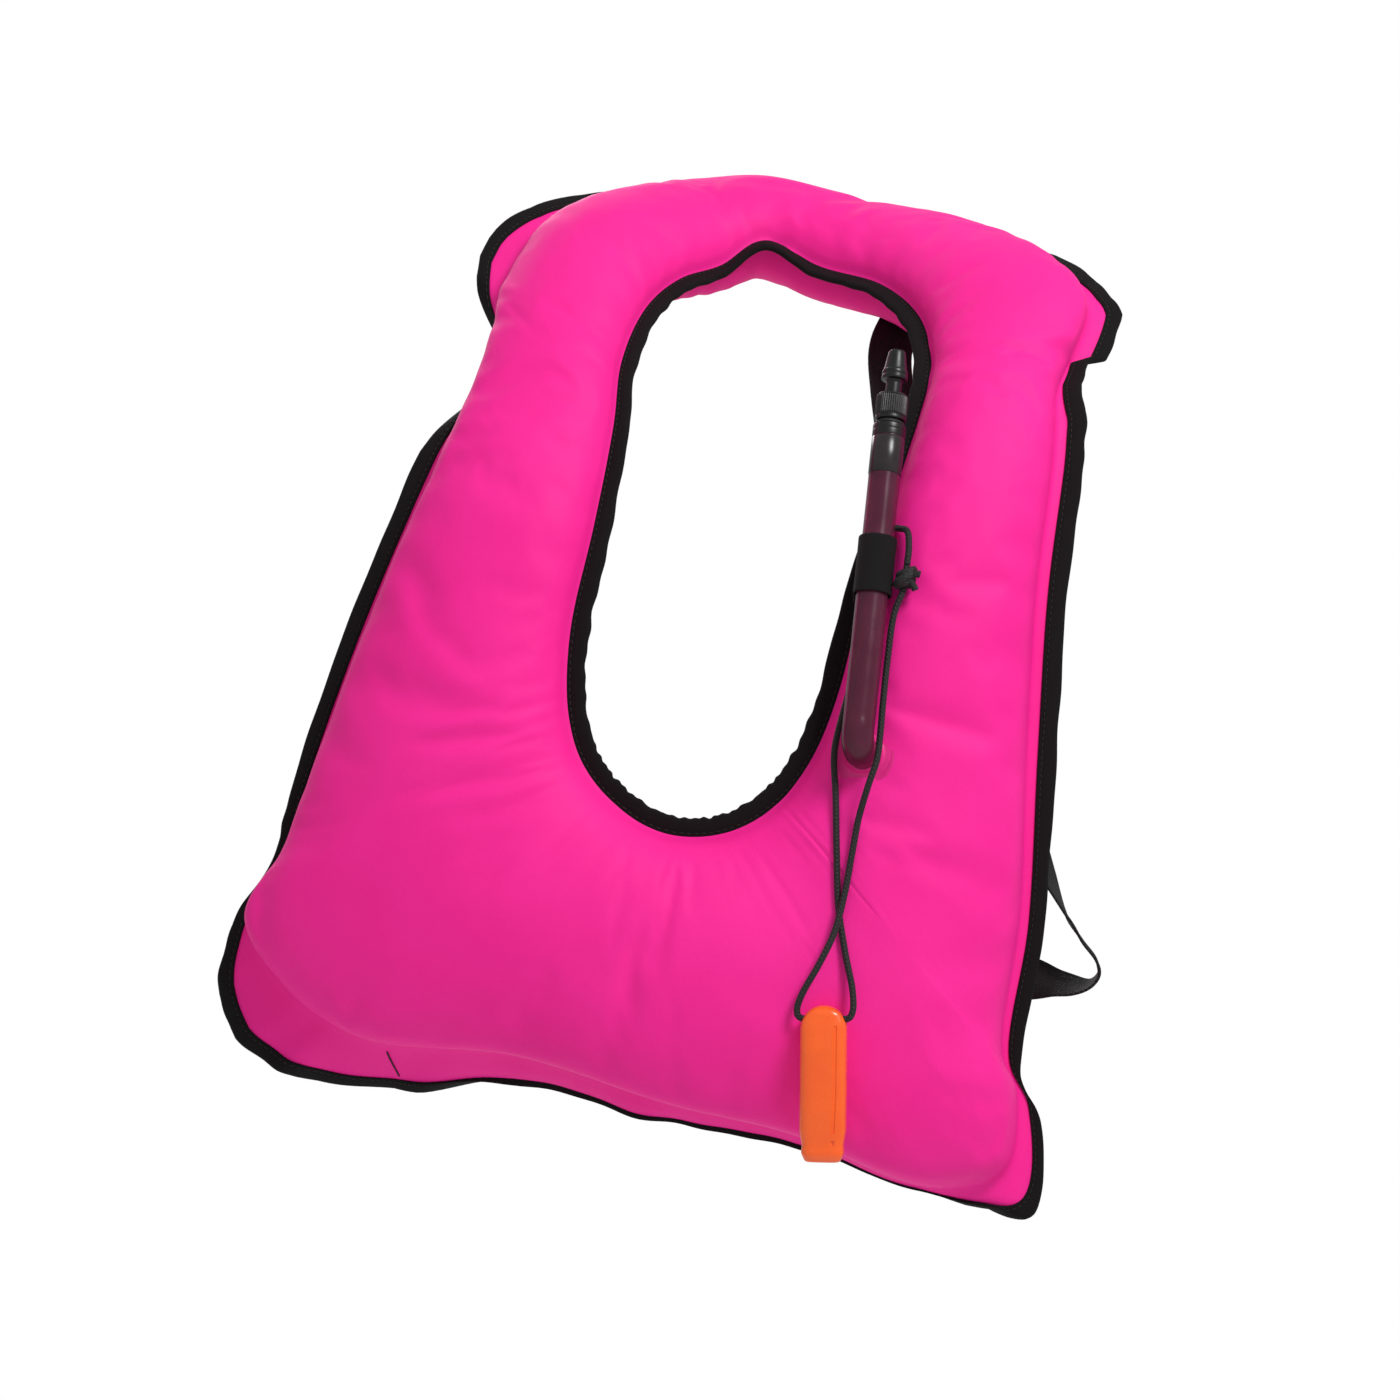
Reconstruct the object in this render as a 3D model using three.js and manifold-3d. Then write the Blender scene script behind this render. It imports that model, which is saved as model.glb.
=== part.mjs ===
// Inflatable snorkel vest with an oral inflation tube, a whistle on a lanyard and a waist belt.
// Units are millimetres, +Z is up and the front of the vest faces -Y.
import * as THREE from 'three';
import { mergeVertices } from 'three/addons/utils/BufferGeometryUtils.js';
import ManifoldModule from 'manifold-3d';

const wasm = await ManifoldModule();
wasm.setup();

// ---------------------------------------------------------------- driving dimensions
const FABRIC = 0.8; // coated nylon sheet
const LAP = 0.15; // half of the gap between the two nylon sheets at a seam
const FIT = 0.3; // clearance between pieces that touch
const BLADDER_WALL = 0.6;
const BINDING_WIDTH = 9.5;
const BINDING_TAPE = 0.8;
const WIDTH_SCALE = 1; // overall width of the vest, 1 is the adult size
const HEIGHT_SCALE = 1; // overall height of the vest, 1 is the adult size
const FILL = 1; // how hard the vest is inflated

const TUBE_OUTER = 8.75; // radii of the oral inflation tube
const TUBE_INNER = 7;
const KEEPER_HEIGHT = 31;
const KEEPER_WALL = 1.2;
const PORT_RADIUS = 17;
const SPIGOT_RADIUS = 6.5;

const WEBBING_WIDTH = 25;
const WEBBING = 1.6;
const CORD = 3.5;

// Each station of the pattern pairs a point on the neck edge with one on the outer edge.
// front and back are how far the inflated vest stands out from the seams there.
// hem is the flat margin of cover fabric outside the bladder.
const STATIONS = [
  { neck: [-18, 140, 262], rim: [-35, 230, 300], front: 28, back: 28, hem: 16 },
  { neck: [12, 135, 253], rim: [39, 215, 296], front: 28, back: 28, hem: 16 },
  { neck: [47, 115, 242], rim: [113, 175, 288], front: 28, back: 28, hem: 16 },
  { neck: [71, 90, 224], rim: [164, 125, 273], front: 27, back: 27, hem: 18 },
  { neck: [82, 65, 200], rim: [184, 100, 255], front: 26, back: 26, hem: 18 },
  { neck: [83, 50, 182], rim: [185, 75, 220], front: 25, back: 26, hem: 18 },
  { neck: [81, 38, 161], rim: [178, 50, 193], front: 26, back: 26, hem: 16 },
  { neck: [76, 22, 125], rim: [180, 35, 155], front: 27, back: 27, hem: 16 },
  { neck: [68, 10, 70], rim: [182, 25, 88], front: 29, back: 28, hem: 16 },
  { neck: [63, 4, 15], rim: [190, 25, -2], front: 33, back: 31, hem: 16 },
  { neck: [57, 1, -14], rim: [198, 29, -95], front: 38, back: 35, hem: 16 },
  { neck: [49, 0, -33], rim: [198, 30, -170], front: 42, back: 38, hem: 16 },
  { neck: [42, 0, -43], rim: [212, 32, -193], front: 43, back: 39, hem: 20 },
  { neck: [33, 0, -52], rim: [215, 30, -243], front: 43, back: 39, hem: 34 },
  { neck: [22, 0, -59], rim: [160, 21, -247], front: 43, back: 39, hem: 20 },
  { neck: [10, 0, -63], rim: [95, 12, -238], front: 42, back: 38, hem: 18 },
  { neck: [-4, 0, -64], rim: [20, 10, -241], front: 42, back: 38, hem: 20 },
  { neck: [-17, 0, -61], rim: [-75, 13, -237], front: 42, back: 38, hem: 26 },
  { neck: [-29, 0, -55], rim: [-186, 28, -243], front: 43, back: 39, hem: 36 },
  { neck: [-40, 0, -47], rim: [-228, 38, -210], front: 43, back: 39, hem: 34 },
  { neck: [-49, 0, -37], rim: [-239, 42, -162], front: 43, back: 39, hem: 20 },
  { neck: [-56, 0, -24], rim: [-222, 40, -124], front: 41, back: 38, hem: 14 },
  { neck: [-62, 1, -4], rim: [-218, 38, -88], front: 39, back: 36, hem: 14 },
  { neck: [-65, 4, 28], rim: [-200, 34, 10], front: 34, back: 32, hem: 14 },
  { neck: [-63, 10, 75], rim: [-176, 40, 110], front: 29, back: 28, hem: 14 },
  { neck: [-64, 28, 135], rim: [-162, 72, 172], front: 26, back: 26, hem: 16 },
  { neck: [-69, 52, 172], rim: [-164, 98, 208], front: 25, back: 26, hem: 18 },
  { neck: [-66, 86, 207], rim: [-152, 138, 262], front: 26, back: 26, hem: 18 },
  { neck: [-55, 111, 228], rim: [-115, 178, 287], front: 27, back: 27, hem: 16 },
  { neck: [-38, 132, 245], rim: [-78, 213, 298], front: 28, back: 28, hem: 16 },
];
const STEPS_PER_STATION = 2;
const BULGE_STEPS = 5; // strips across the inflated part
const NAPE = new THREE.Vector3(-18, 140, 262); // the origin of the part

// Port and tube. The port sits on one facet of the front; distances run along the tube from the
// point where its axis meets the axis of the port.
const PORT_ROW = 19.2;
const PORT_COLUMN = 2.3;
const PORT_LIFT = 1;
const PORT_REACH = 19;
const KEEPER_AT = [82, -13.5, 83];
const KEEPER_INNER = 9.05;
const KEEPER_TAIL = 19;
const TUBE_START = 14;
const TUBE_FLEX = 129;
const TUBE_FLEX_LENGTH = 20;
const TUBE_TOP = 173;

// Lanyard: down the right of the tube, through the eyelet, up behind the tube and the keeper, and
// over the top of the keeper back to the knot.
const KNOT_AT = [98.5, -17, 79];
const KNOT_RADIUS = 5.5;
const KNOT_TAILS = [
  [[101, -19, 82], [105, -21, 85], [109, -21, 83]],
  [[102, -18, 77], [106, -20, 75], [108, -20, 71]],
];
const LANYARD_ROUTE = [
  [98.5, -18, 71.8], [96, -19, 60], [96.5, -22, 35], [98, -27.5, 12], [99.3, -32, -4],
  [99.8, -35.5, -16], [97.5, -36, -30], [95, -31.5, -48], [94.5, -31, -65], [94, -33.5, -88],
  [92, -37.5, -108], [87, -41, -125], [81, -42, -141], [79.6, -42, -149], [80.8, -42, -152.6],
  [84, -42, -153.5], [94, -42, -152], [104, -42, -150.5], [107, -42, -149], [108, -41.5, -145],
  [106, -39, -135], [99.5, -35, -118], [92, -31.6, -95], [86, -28.2, -65], [81, -23.8, -38],
  [76.6, -21, -16], [77.6, -18, 4], [80.5, -10.5, 28], [84, -6.8, 52], [83, -4.4, 62],
  [82, -1.8, 70], [81, 0.8, 76], [80, 3.5, 85], [80.5, 7, 97], [86.3, 2.2, 105], [91, -3.6, 105.2],
  [95.5, -9.5, 104.2], [98, -14.5, 95], [98.5, -16.5, 86.2],
];
const WHISTLE_TOP = [93, -42, -145];
const WHISTLE_LEAN = 0.148; // radians that the whistle leans across the vest
const WHISTLE_LENGTH = 80;
const WHISTLE_WIDTH = 24;
const WHISTLE_DEPTH = 17;
const WHISTLE_EYE = 7;
const EYELET = 5;

// Sewn patches: the facet of the back each lies on, and the way the strap runs over it.
const PATCH = 1.2;
const PATCH_LIFT = 0.6;
const PATCH_LENGTH = 30;
const PATCH_WIDTH = 27;
const NAPE_PATCH = { row: 3.4, column: 3.5, way: [0.1, 0.7, 0.7] };
const RIGHT_PATCH = { row: 18.5, column: 4.35, way: [-0.75, 0, 0.65] };
const LEFT_PATCH = { row: 40.3, column: 4.5, way: [-1, 0, 0] };

// Webbing: each row is a centre and the way of its width. The harness strap runs from the nape
// behind the right of the vest, makes a loop at the edge and goes on as the waist belt.
const BELT_PLANE = [62, -121];
const ADJUSTER_X = 60;
const BUCKLE_X = -35;
const HARNESS_DROP = [
  [[62, 134, 212], [1, 0.2, 0.1]],
  [[67, 112, 188], [1, 0.2, 0.15]],
  [[74, 90, 163], [1, 0.2, 0.2]],
  [[84, 70, 135], [1, 0.2, 0.4]],
  [[94, 57, 108], [1, 0.1, 0.45]],
  [[104, 51, 85], [1, 0, 0.5]],
  [[116, 49, 62], [1, 0, 0.55]],
  [[128, 48.5, 40], [1, 0, 0.6]],
];
const HARNESS_LOOP = [
  [[174, 50, -32], [0.9, 0.3, 0.5]],
  [[184, 50, -47], [0.6, 0.8, 0.4]],
  [[195, 49, -62], [0.3, 1, 0.2]],
  [[209, 48, -83], [0, 1, 0]],
  [[220, 49, -96], [0, 1, 0]],
  [[229, 50, -105], [0, 1, 0]],
  [[231.5, 50, -112], [0, 1, 0]],
  [[228, 51, -118], [0, 1, 0.1]],
  [[220, 52, -120.5], [0, 1, 0.5]],
  [[210, 54, -121], [0, 0.7, 1]],
  [[198, 56, -121], [0, 0.3, 1]],
];
// The rest of the straps lie in the belt plane: each pair is x and the distance behind that plane.
const BELT_RIGHT = [
  [184, -3], [150, -3], [110, -3], [80, -3], [71, -3], [69, -2.7], [66, 0], [63, 2.7], [61.5, 3],
  [58.5, 3], [57, 2.7], [54, 0], [51, -2.7], [49, -3], [40, -2.7], [20, 1.2], [8, 3.5], [1, 3.5],
  [-1.6, 2.4], [-2.8, 0], [-1.6, -2.4], [1, -3.5], [8, -3.5], [16, -1],
];
const BELT_LEFT = [
  [-78, 1.2], [-68, -3.3], [-56, -3.5], [-54, -2.4], [-52.8, 0], [-54, 2.4], [-56, 3.5], [-68, 3.5],
  [-78, 3.5], [-110, 3.3], [-140, 4],
];

// ---------------------------------------------------------------- finishes
const finish = (color, roughness, metalness = 0) => ({ color, roughness, metalness });
const NYLON = finish('#f0309a', 0.55);
const TAPE = finish('#15100f', 0.9);
const FILM = finish('#e8c9d8', 0.35);
const SMOKE = finish('#4a2236', 0.2);
const BLACK = finish('#141414', 0.45);
const GREY = finish('#8b8d90', 0.4);
const ORANGE = finish('#ff6e1e', 0.35);
const STEEL = finish('#b9bcc0', 0.3, 1);
const RUBBER = finish('#1c1c1c', 0.8);

const vest = new THREE.Group();
vest.name = 'snorkel_vest';

/** Adds one named piece, moved so that the nape of the collar is the origin. */
function addPiece(name, geometry, look) {
  const mesh = new THREE.Mesh(geometry, new THREE.MeshStandardMaterial(look));
  mesh.name = name;
  mesh.material.name = name;
  geometry.translate(-NAPE.x, -NAPE.y, -NAPE.z);
  vest.add(mesh);
  return mesh;
}

// ---------------------------------------------------------------- the pattern surface
const scaled = (p) => new THREE.Vector3(p[0] * WIDTH_SCALE, p[1], p[2] * HEIGHT_SCALE);
const neckEdge = new THREE.CatmullRomCurve3(STATIONS.map((s) => scaled(s.neck)), true);
const rimEdge = new THREE.CatmullRomCurve3(STATIONS.map((s) => scaled(s.rim)), true);
const fillCurve = new THREE.CatmullRomCurve3(
  STATIONS.map((s) => new THREE.Vector3(s.front * FILL, s.back * FILL, s.hem)),
  true,
);

/** The seam line at station s: its neck point, the way to the rim, the front normal and sizes. */
function seamFrame(s) {
  const t = (((s / STATIONS.length) % 1) + 1) % 1;
  const middle = (k) => {
    const at = (((t + k) % 1) + 1) % 1;
    return neckEdge.getPoint(at).add(rimEdge.getPoint(at));
  };
  const neck = neckEdge.getPoint(t);
  const across = rimEdge.getPoint(t).sub(neck);
  const width = across.length();
  across.normalize();
  const along = middle(0.01).sub(middle(-0.01));
  const normal = along.cross(across).normalize();
  const fill = fillCurve.getPoint(t);
  return { neck, across, normal, width, front: fill.x, back: fill.y, hem: fill.z };
}

/** Distance across the strip and share of the full bulge for each column of the grid. */
function columns(frame) {
  const start = BINDING_WIDTH;
  const end = frame.width - frame.hem;
  const list = [{ d: 0, rise: 0, slope: 1 }];
  for (let j = 0; j <= BULGE_STEPS; j += 1) {
    const angle = (Math.PI * j) / BULGE_STEPS;
    const v = (1 - Math.cos(angle)) / 2;
    const steep = Math.abs(Math.cos(angle));
    const slope = j === 0 || j === BULGE_STEPS ? 1 : 1 + 1.2 * steep;
    list.push({ d: start + v * (end - start), rise: Math.sin(angle), slope });
  }
  list.push({ d: frame.width - BINDING_WIDTH, rise: 0, slope: 1 });
  list.push({ d: frame.width, rise: 0, slope: 1 });
  return list;
}

const place = (f, d, h) =>
  f.neck.clone().addScaledVector(f.across, d).addScaledVector(f.normal, h);

/** A point of a section, with its distance across the strip. */
const spot = (f, d, h) => ({ d, point: place(f, d, h) });

/**
 * Closed ring of quads: each row is one closed section, and the rows join end to end.
 * Every quad is split along the same diagonal of the strip, so that layers stay parallel.
 */
function loopOfSections(sections, flip = false) {
  const count = sections[0].length;
  const positions = sections.flat().flatMap(({ point }) => [point.x, point.y, point.z]);
  const index = [];
  const triangle = (a, b, c) => index.push(...(flip ? [a, c, b] : [a, b, c]));
  for (let i = 0; i < sections.length; i += 1) {
    const next = (i + 1) % sections.length;
    for (let j = 0; j < count; j += 1) {
      const k = (j + 1) % count;
      const [a, b, c, d] = [i * count + j, next * count + j, next * count + k, i * count + k];
      if (sections[i][k].d > sections[i][j].d) {
        triangle(a, b, c);
        triangle(a, c, d);
      } else {
        triangle(a, b, d);
        triangle(b, c, d);
      }
    }
  }
  const geometry = new THREE.BufferGeometry();
  geometry.setAttribute('position', new THREE.Float32BufferAttribute(positions, 3));
  geometry.setIndex(index);
  return geometry;
}

const frames = [];
for (let i = 0; i < STATIONS.length * STEPS_PER_STATION; i += 1) {
  frames.push(seamFrame(i / STEPS_PER_STATION));
}

/** One nylon sheet: side is +1 for the front of the vest and -1 for the back. */
function nylonSheet(side) {
  const sections = frames.map((f) => {
    const bulge = side > 0 ? f.front : f.back;
    const cols = columns(f);
    const height = (c) => LAP + FABRIC + bulge * c.rise;
    const top = cols.map((c) => spot(f, c.d, side * height(c)));
    const under = cols.map((c) => spot(f, c.d, side * (height(c) - FABRIC * c.slope)));
    return [...top, ...under.reverse()];
  });
  return loopOfSections(sections, side < 0);
}

/** Skin of the bladder: gap is how far it lies inside the cover and inset trims its sides. */
function bladderSkin(gap, inset) {
  const sections = frames.map((f) => {
    const cols = columns(f).slice(2, -3);
    const last = cols.length - 1;
    const across = cols.map((c, j) => c.d + (j === 0 ? inset : 0) - (j === last ? inset : 0));
    const height = (c, bulge) => LAP + bulge * c.rise + FABRIC - (FABRIC + gap) * c.slope;
    const front = cols.map((c, j) => spot(f, across[j], height(c, f.front)));
    const back = cols.map((c, j) => spot(f, across[j], -height(c, f.back)));
    return [...front, ...back.reverse()];
  });
  return loopOfSections(sections);
}

/** U of tape folded over an edge of the cover; at is 0 for the neck edge and 1 for the rim. */
function binding(at) {
  const half = LAP + FABRIC + FIT;
  const outer = half + BINDING_TAPE;
  const sections = frames.map((f) => {
    const edge = at * f.width;
    const inward = at === 0 ? 1 : -1;
    const leg = edge + inward * BINDING_WIDTH;
    const fold = edge - inward * FIT;
    const crest = edge - inward * (FIT + BINDING_TAPE);
    return [
      spot(f, leg, half),
      spot(f, leg, outer),
      spot(f, crest, outer),
      spot(f, crest, -outer),
      spot(f, leg, -outer),
      spot(f, leg, -half),
      spot(f, fold, -half),
      spot(f, fold, half),
    ];
  });
  return loopOfSections(sections, at === 0);
}

// ---------------------------------------------------------------- joining and cutting
function toSolid(geometry) {
  const bare = new THREE.BufferGeometry();
  bare.setAttribute('position', geometry.getAttribute('position').clone());
  if (geometry.index) bare.setIndex(geometry.index.clone());
  const merged = mergeVertices(bare, 1e-4);
  const mesh = new wasm.Mesh({
    numProp: 3,
    vertProperties: new Float32Array(merged.getAttribute('position').array),
    triVerts: new Uint32Array(merged.index.array),
  });
  return new wasm.Manifold(mesh);
}

function toGeometry(solid) {
  const mesh = solid.getMesh();
  const geometry = new THREE.BufferGeometry();
  geometry.setAttribute('position', new THREE.BufferAttribute(mesh.vertProperties, 3));
  geometry.setIndex(new THREE.BufferAttribute(mesh.triVerts, 1));
  return geometry;
}

const cut = (a, ...others) =>
  toGeometry(others.reduce((solid, b) => solid.subtract(toSolid(b)), toSolid(a)));
const join = (a, ...others) =>
  toGeometry(others.reduce((solid, b) => solid.add(toSolid(b)), toSolid(a)));

// ---------------------------------------------------------------- shared building helpers
/** Closed profile of [radius, height] pairs turned round the Z axis. */
function turned(profile, sides = 20) {
  const closed = [...profile, profile[0]].map(([r, z]) => new THREE.Vector2(r, z));
  const geometry = new THREE.LatheGeometry(closed, sides);
  return geometry.rotateX(Math.PI / 2);
}

/** Pipe between two heights on the Z axis. */
const pipe = (outer, inner, low, high, sides = 20) =>
  turned([[inner, low], [outer, low], [outer, high], [inner, high]], sides);

/** Solid disc or rod between two heights on the Z axis. */
const rod = (radius, low, high, sides = 20) =>
  turned([[0, low], [radius, low], [radius, high], [0, high]], sides);

/** Box given by its low and high corners. */
function block(low, high) {
  const size = high.map((v, k) => v - low[k]);
  const geometry = new THREE.BoxGeometry(...size);
  return geometry.translate(...low.map((v, k) => v + size[k] / 2));
}

/** Round section swept along a path, with an optional bore. */
function sweep(path, steps, radius, sides, bore = 0) {
  const ring = (r) => {
    const turn = (k) => (2 * Math.PI * k) / sides;
    return Array.from({ length: sides }, (_, k) =>
      new THREE.Vector2(r * Math.cos(turn(k)), r * Math.sin(turn(k))));
  };
  const shape = new THREE.Shape(ring(radius));
  if (bore > 0) shape.holes.push(new THREE.Path(ring(bore).reverse()));
  return new THREE.ExtrudeGeometry(shape, { steps, extrudePath: path, bevelEnabled: false });
}

const vec = (p) => new THREE.Vector3(...p);
const routeOf = (points) => new THREE.CatmullRomCurve3(points.map(vec), false, 'centripetal');

/** Flat strap: each row is [centre, way of its width], joined by straight facets. */
function ribbon(rows, width, thickness) {
  const centres = rows.map(([c]) => vec(c));
  const sections = centres.map((centre, i) => {
    const before = centres[Math.max(0, i - 1)];
    const after = centres[Math.min(centres.length - 1, i + 1)];
    const tangent = after.clone().sub(before).normalize();
    const wide = vec(rows[i][1]);
    wide.addScaledVector(tangent, -wide.dot(tangent)).normalize();
    const flat = tangent.clone().cross(wide).normalize();
    const corner = (a, b) =>
      centre.clone().addScaledVector(wide, (a * width) / 2).addScaledVector(flat, (b * thickness) / 2);
    return [corner(1, 1), corner(-1, 1), corner(-1, -1), corner(1, -1)];
  });
  const index = [0, 2, 1, 0, 3, 2];
  for (let i = 0; i + 1 < sections.length; i += 1) {
    for (let j = 0; j < 4; j += 1) {
      const k = (j + 1) % 4;
      const [a, b, c, d] = [i * 4 + j, i * 4 + k, (i + 1) * 4 + k, (i + 1) * 4 + j];
      index.push(a, c, d, a, b, c);
    }
  }
  const end = (sections.length - 1) * 4;
  index.push(end, end + 1, end + 2, end, end + 2, end + 3);
  const geometry = new THREE.BufferGeometry();
  const flatList = sections.flat().flatMap((p) => [p.x, p.y, p.z]);
  geometry.setAttribute('position', new THREE.Float32BufferAttribute(flatList, 3));
  geometry.setIndex(index);
  return geometry;
}

/**
 * Plane of one facet of the cover: side +1 is the front, row and column count along the grid.
 * Its first axis runs across the strip, or along way where one is given.
 */
function facet(side, row, column, way = null) {
  const at = (k, c) => {
    const f = frames[(k + frames.length) % frames.length];
    const cols = columns(f);
    const low = Math.floor(c);
    const share = c - low;
    const d = THREE.MathUtils.lerp(cols[low].d, cols[low + 1].d, share);
    const rise = THREE.MathUtils.lerp(cols[low].rise, cols[low + 1].rise, share);
    const bulge = side > 0 ? f.front : f.back;
    return place(f, d, side * (LAP + FABRIC + bulge * rise));
  };
  const low = Math.floor(row);
  const point = at(low, column).lerp(at(low + 1, column), row - low);
  const across = at(low, column + 0.2).sub(at(low, column - 0.2)).normalize();
  const along = at(low + 1, column).sub(at(low, column)).normalize();
  const normal = along.clone().cross(across).multiplyScalar(side).normalize();
  const first = way ? vec(way) : across;
  first.addScaledVector(normal, -first.dot(normal)).normalize();
  const second = normal.clone().cross(first);
  const matrix = new THREE.Matrix4().makeBasis(first, second, normal).setPosition(point);
  return { point, first, second, normal, matrix };
}

// ---------------------------------------------------------------- port, elbow and tube
const port = facet(1, PORT_ROW, PORT_COLUMN);
const bendCorner = port.point.clone().addScaledVector(port.normal, PORT_REACH);
const keeperAt = vec(KEEPER_AT);
const tubeWay = keeperAt.clone().sub(bendCorner).normalize();
const onTube = (distance) => bendCorner.clone().addScaledVector(tubeWay, distance);
const hingeWay = new THREE.Vector3(1, 0, 0);
hingeWay.addScaledVector(tubeWay, -hingeWay.dot(tubeWay)).normalize();
const tubeMatrix = (distance) =>
  new THREE.Matrix4()
    .makeBasis(hingeWay, tubeWay.clone().cross(hingeWay), tubeWay)
    .setPosition(onTube(distance));
const toTube = (geometry, distance = 0) => geometry.applyMatrix4(tubeMatrix(distance));

const portHole = rod(SPIGOT_RADIUS + FIT, -30, 30, 16).applyMatrix4(port.matrix);
addPiece('front_shell', cut(nylonSheet(1), portHole), NYLON);
addPiece('back_shell', nylonSheet(-1), NYLON);
addPiece('bladder', cut(bladderSkin(FIT, 0), bladderSkin(FIT + BLADDER_WALL, BLADDER_WALL), portHole), FILM);
addPiece('outer_binding', binding(1), TAPE);
addPiece('neck_binding', binding(0), TAPE);

const flange = turned(
  [
    [SPIGOT_RADIUS - 2, -8],
    [SPIGOT_RADIUS, -8],
    [SPIGOT_RADIUS, PORT_LIFT],
    [PORT_RADIUS, PORT_LIFT],
    [PORT_RADIUS - 1, PORT_LIFT + 1.5],
    [SPIGOT_RADIUS - 2, PORT_LIFT + 1.5],
  ],
  24,
).applyMatrix4(port.matrix);
addPiece('port_flange', flange, NYLON);

const elbowPath = new THREE.CatmullRomCurve3([
  port.point.clone().addScaledVector(port.normal, PORT_LIFT + 1.5 + FIT),
  port.point.clone().addScaledVector(port.normal, PORT_REACH - 9),
  bendCorner.clone().addScaledVector(port.normal, -3).addScaledVector(tubeWay, 3),
  onTube(9),
  onTube(TUBE_START - FIT),
]);
addPiece('tube_elbow', sweep(elbowPath, 10, TUBE_OUTER, 16, TUBE_INNER), SMOKE);
const flexLow = TUBE_FLEX - TUBE_FLEX_LENGTH / 2;
const flexHigh = TUBE_FLEX + TUBE_FLEX_LENGTH / 2;
addPiece('tube_lower', toTube(pipe(TUBE_OUTER, TUBE_INNER, TUBE_START, flexLow)), SMOKE);
addPiece('tube_flex', toTube(pipe(TUBE_OUTER, TUBE_INNER, flexLow + FIT, flexHigh - FIT)), SMOKE);
addPiece('tube_upper', toTube(pipe(TUBE_OUTER, TUBE_INNER, flexHigh, TUBE_TOP)), SMOKE);

// The keeper is one strip of elastic: a ring round the tube with a tail sewn to the neck binding.
const keeperRing = pipe(KEEPER_INNER + KEEPER_WALL, KEEPER_INNER, 0, KEEPER_HEIGHT, 24);
const tailX = -KEEPER_INNER - KEEPER_WALL;
const keeperTail = block([tailX, 0, 0], [tailX + 1.8 * KEEPER_WALL, KEEPER_TAIL, KEEPER_HEIGHT]);
const keeperBore = rod(KEEPER_INNER, -1, KEEPER_HEIGHT + 1, 24);
const keeper = cut(join(keeperRing, keeperTail), keeperBore);
addPiece('tube_keeper', toTube(keeper, keeperAt.distanceTo(bendCorner) - KEEPER_HEIGHT / 2), TAPE);

// ---------------------------------------------------------------- oral valve, heights from the tube end
const barrel = turned([
  [4.5, -20],
  [TUBE_INNER - FIT, -20],
  [TUBE_INNER - FIT, FIT],
  [8.3, FIT],
  [8.3, 2.8],
  [5.4, 2.8],
  [5.4, 5.4],
  [5.4, 21],
  [4.5, 21],
  [4.5, 4],
  [2.2, 4],
  [2.2, 2],
  [4.5, 2],
]);
addPiece('valve_barrel', toTube(barrel, TUBE_TOP), GREY);
addPiece('valve_o_ring', toTube(new THREE.TorusGeometry(6.75, 1, 8, 20).translate(0, 0, 4.1), TUBE_TOP), RUBBER);

/** Knurled ring: ridges round the outside and a round bore. */
function knurledRing(outer, inner, low, high, ridges) {
  const point = (r, k, n) =>
    new THREE.Vector2(r * Math.cos((2 * Math.PI * k) / n), r * Math.sin((2 * Math.PI * k) / n));
  const edge = Array.from({ length: 2 * ridges }, (_, k) =>
    point(k % 2 === 0 ? outer : outer - 0.5, k, 2 * ridges));
  const shape = new THREE.Shape(edge);
  shape.holes.push(new THREE.Path(Array.from({ length: 20 }, (_, k) => point(inner, -k, 20))));
  const geometry = new THREE.ExtrudeGeometry(shape, { depth: high - low, bevelEnabled: false });
  return geometry.translate(0, 0, low);
}
addPiece('lock_ring', toTube(knurledRing(8.6, 5.8, 5.7, 20.5, 18), TUBE_TOP), BLACK);

const stem = turned([
  [0, -24.3],
  [2.4, -24.3],
  [2.4, -23.3],
  [1.5, -23.3],
  [1.5, 12],
  [4.2, 12],
  [4.2, 28.5],
  [7, 28.5],
  [7, 34],
  [6.2, 34],
  [4.4, 45],
  [2.6, 45],
  [2.2, 16],
  [0, 15],
]);
const sidePort = rod(1.2, -6, 6, 10).rotateX(Math.PI / 2).translate(0, 0, 18);
addPiece('mouthpiece', toTube(cut(stem, sidePort), TUBE_TOP), BLACK);
addPiece('valve_disc', toTube(pipe(5.6, 1.8, -23, -20.5, 16), TUBE_TOP), RUBBER);
const coil = new THREE.CatmullRomCurve3(
  Array.from({ length: 33 }, (_, k) => {
    const turn = (k / 8) * 2 * Math.PI;
    return new THREE.Vector3(2.9 * Math.cos(turn), 2.9 * Math.sin(turn), 4.8 + (6.4 * k) / 32);
  }),
);
addPiece('valve_spring', toTube(sweep(coil, 40, 0.4, 6), TUBE_TOP), STEEL);

// ---------------------------------------------------------------- lanyard and whistle
addPiece('lanyard_cord', sweep(routeOf(LANYARD_ROUTE), 80, CORD / 2, 8), TAPE);
const knotCore = new THREE.SphereGeometry(KNOT_RADIUS, 12, 8).scale(1, 0.85, 1.1);
knotCore.translate(...KNOT_AT);
const tails = KNOT_TAILS.map((points) => sweep(routeOf(points), 4, CORD / 2, 8));
addPiece('lanyard_knot', join(knotCore, ...tails), TAPE);

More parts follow.
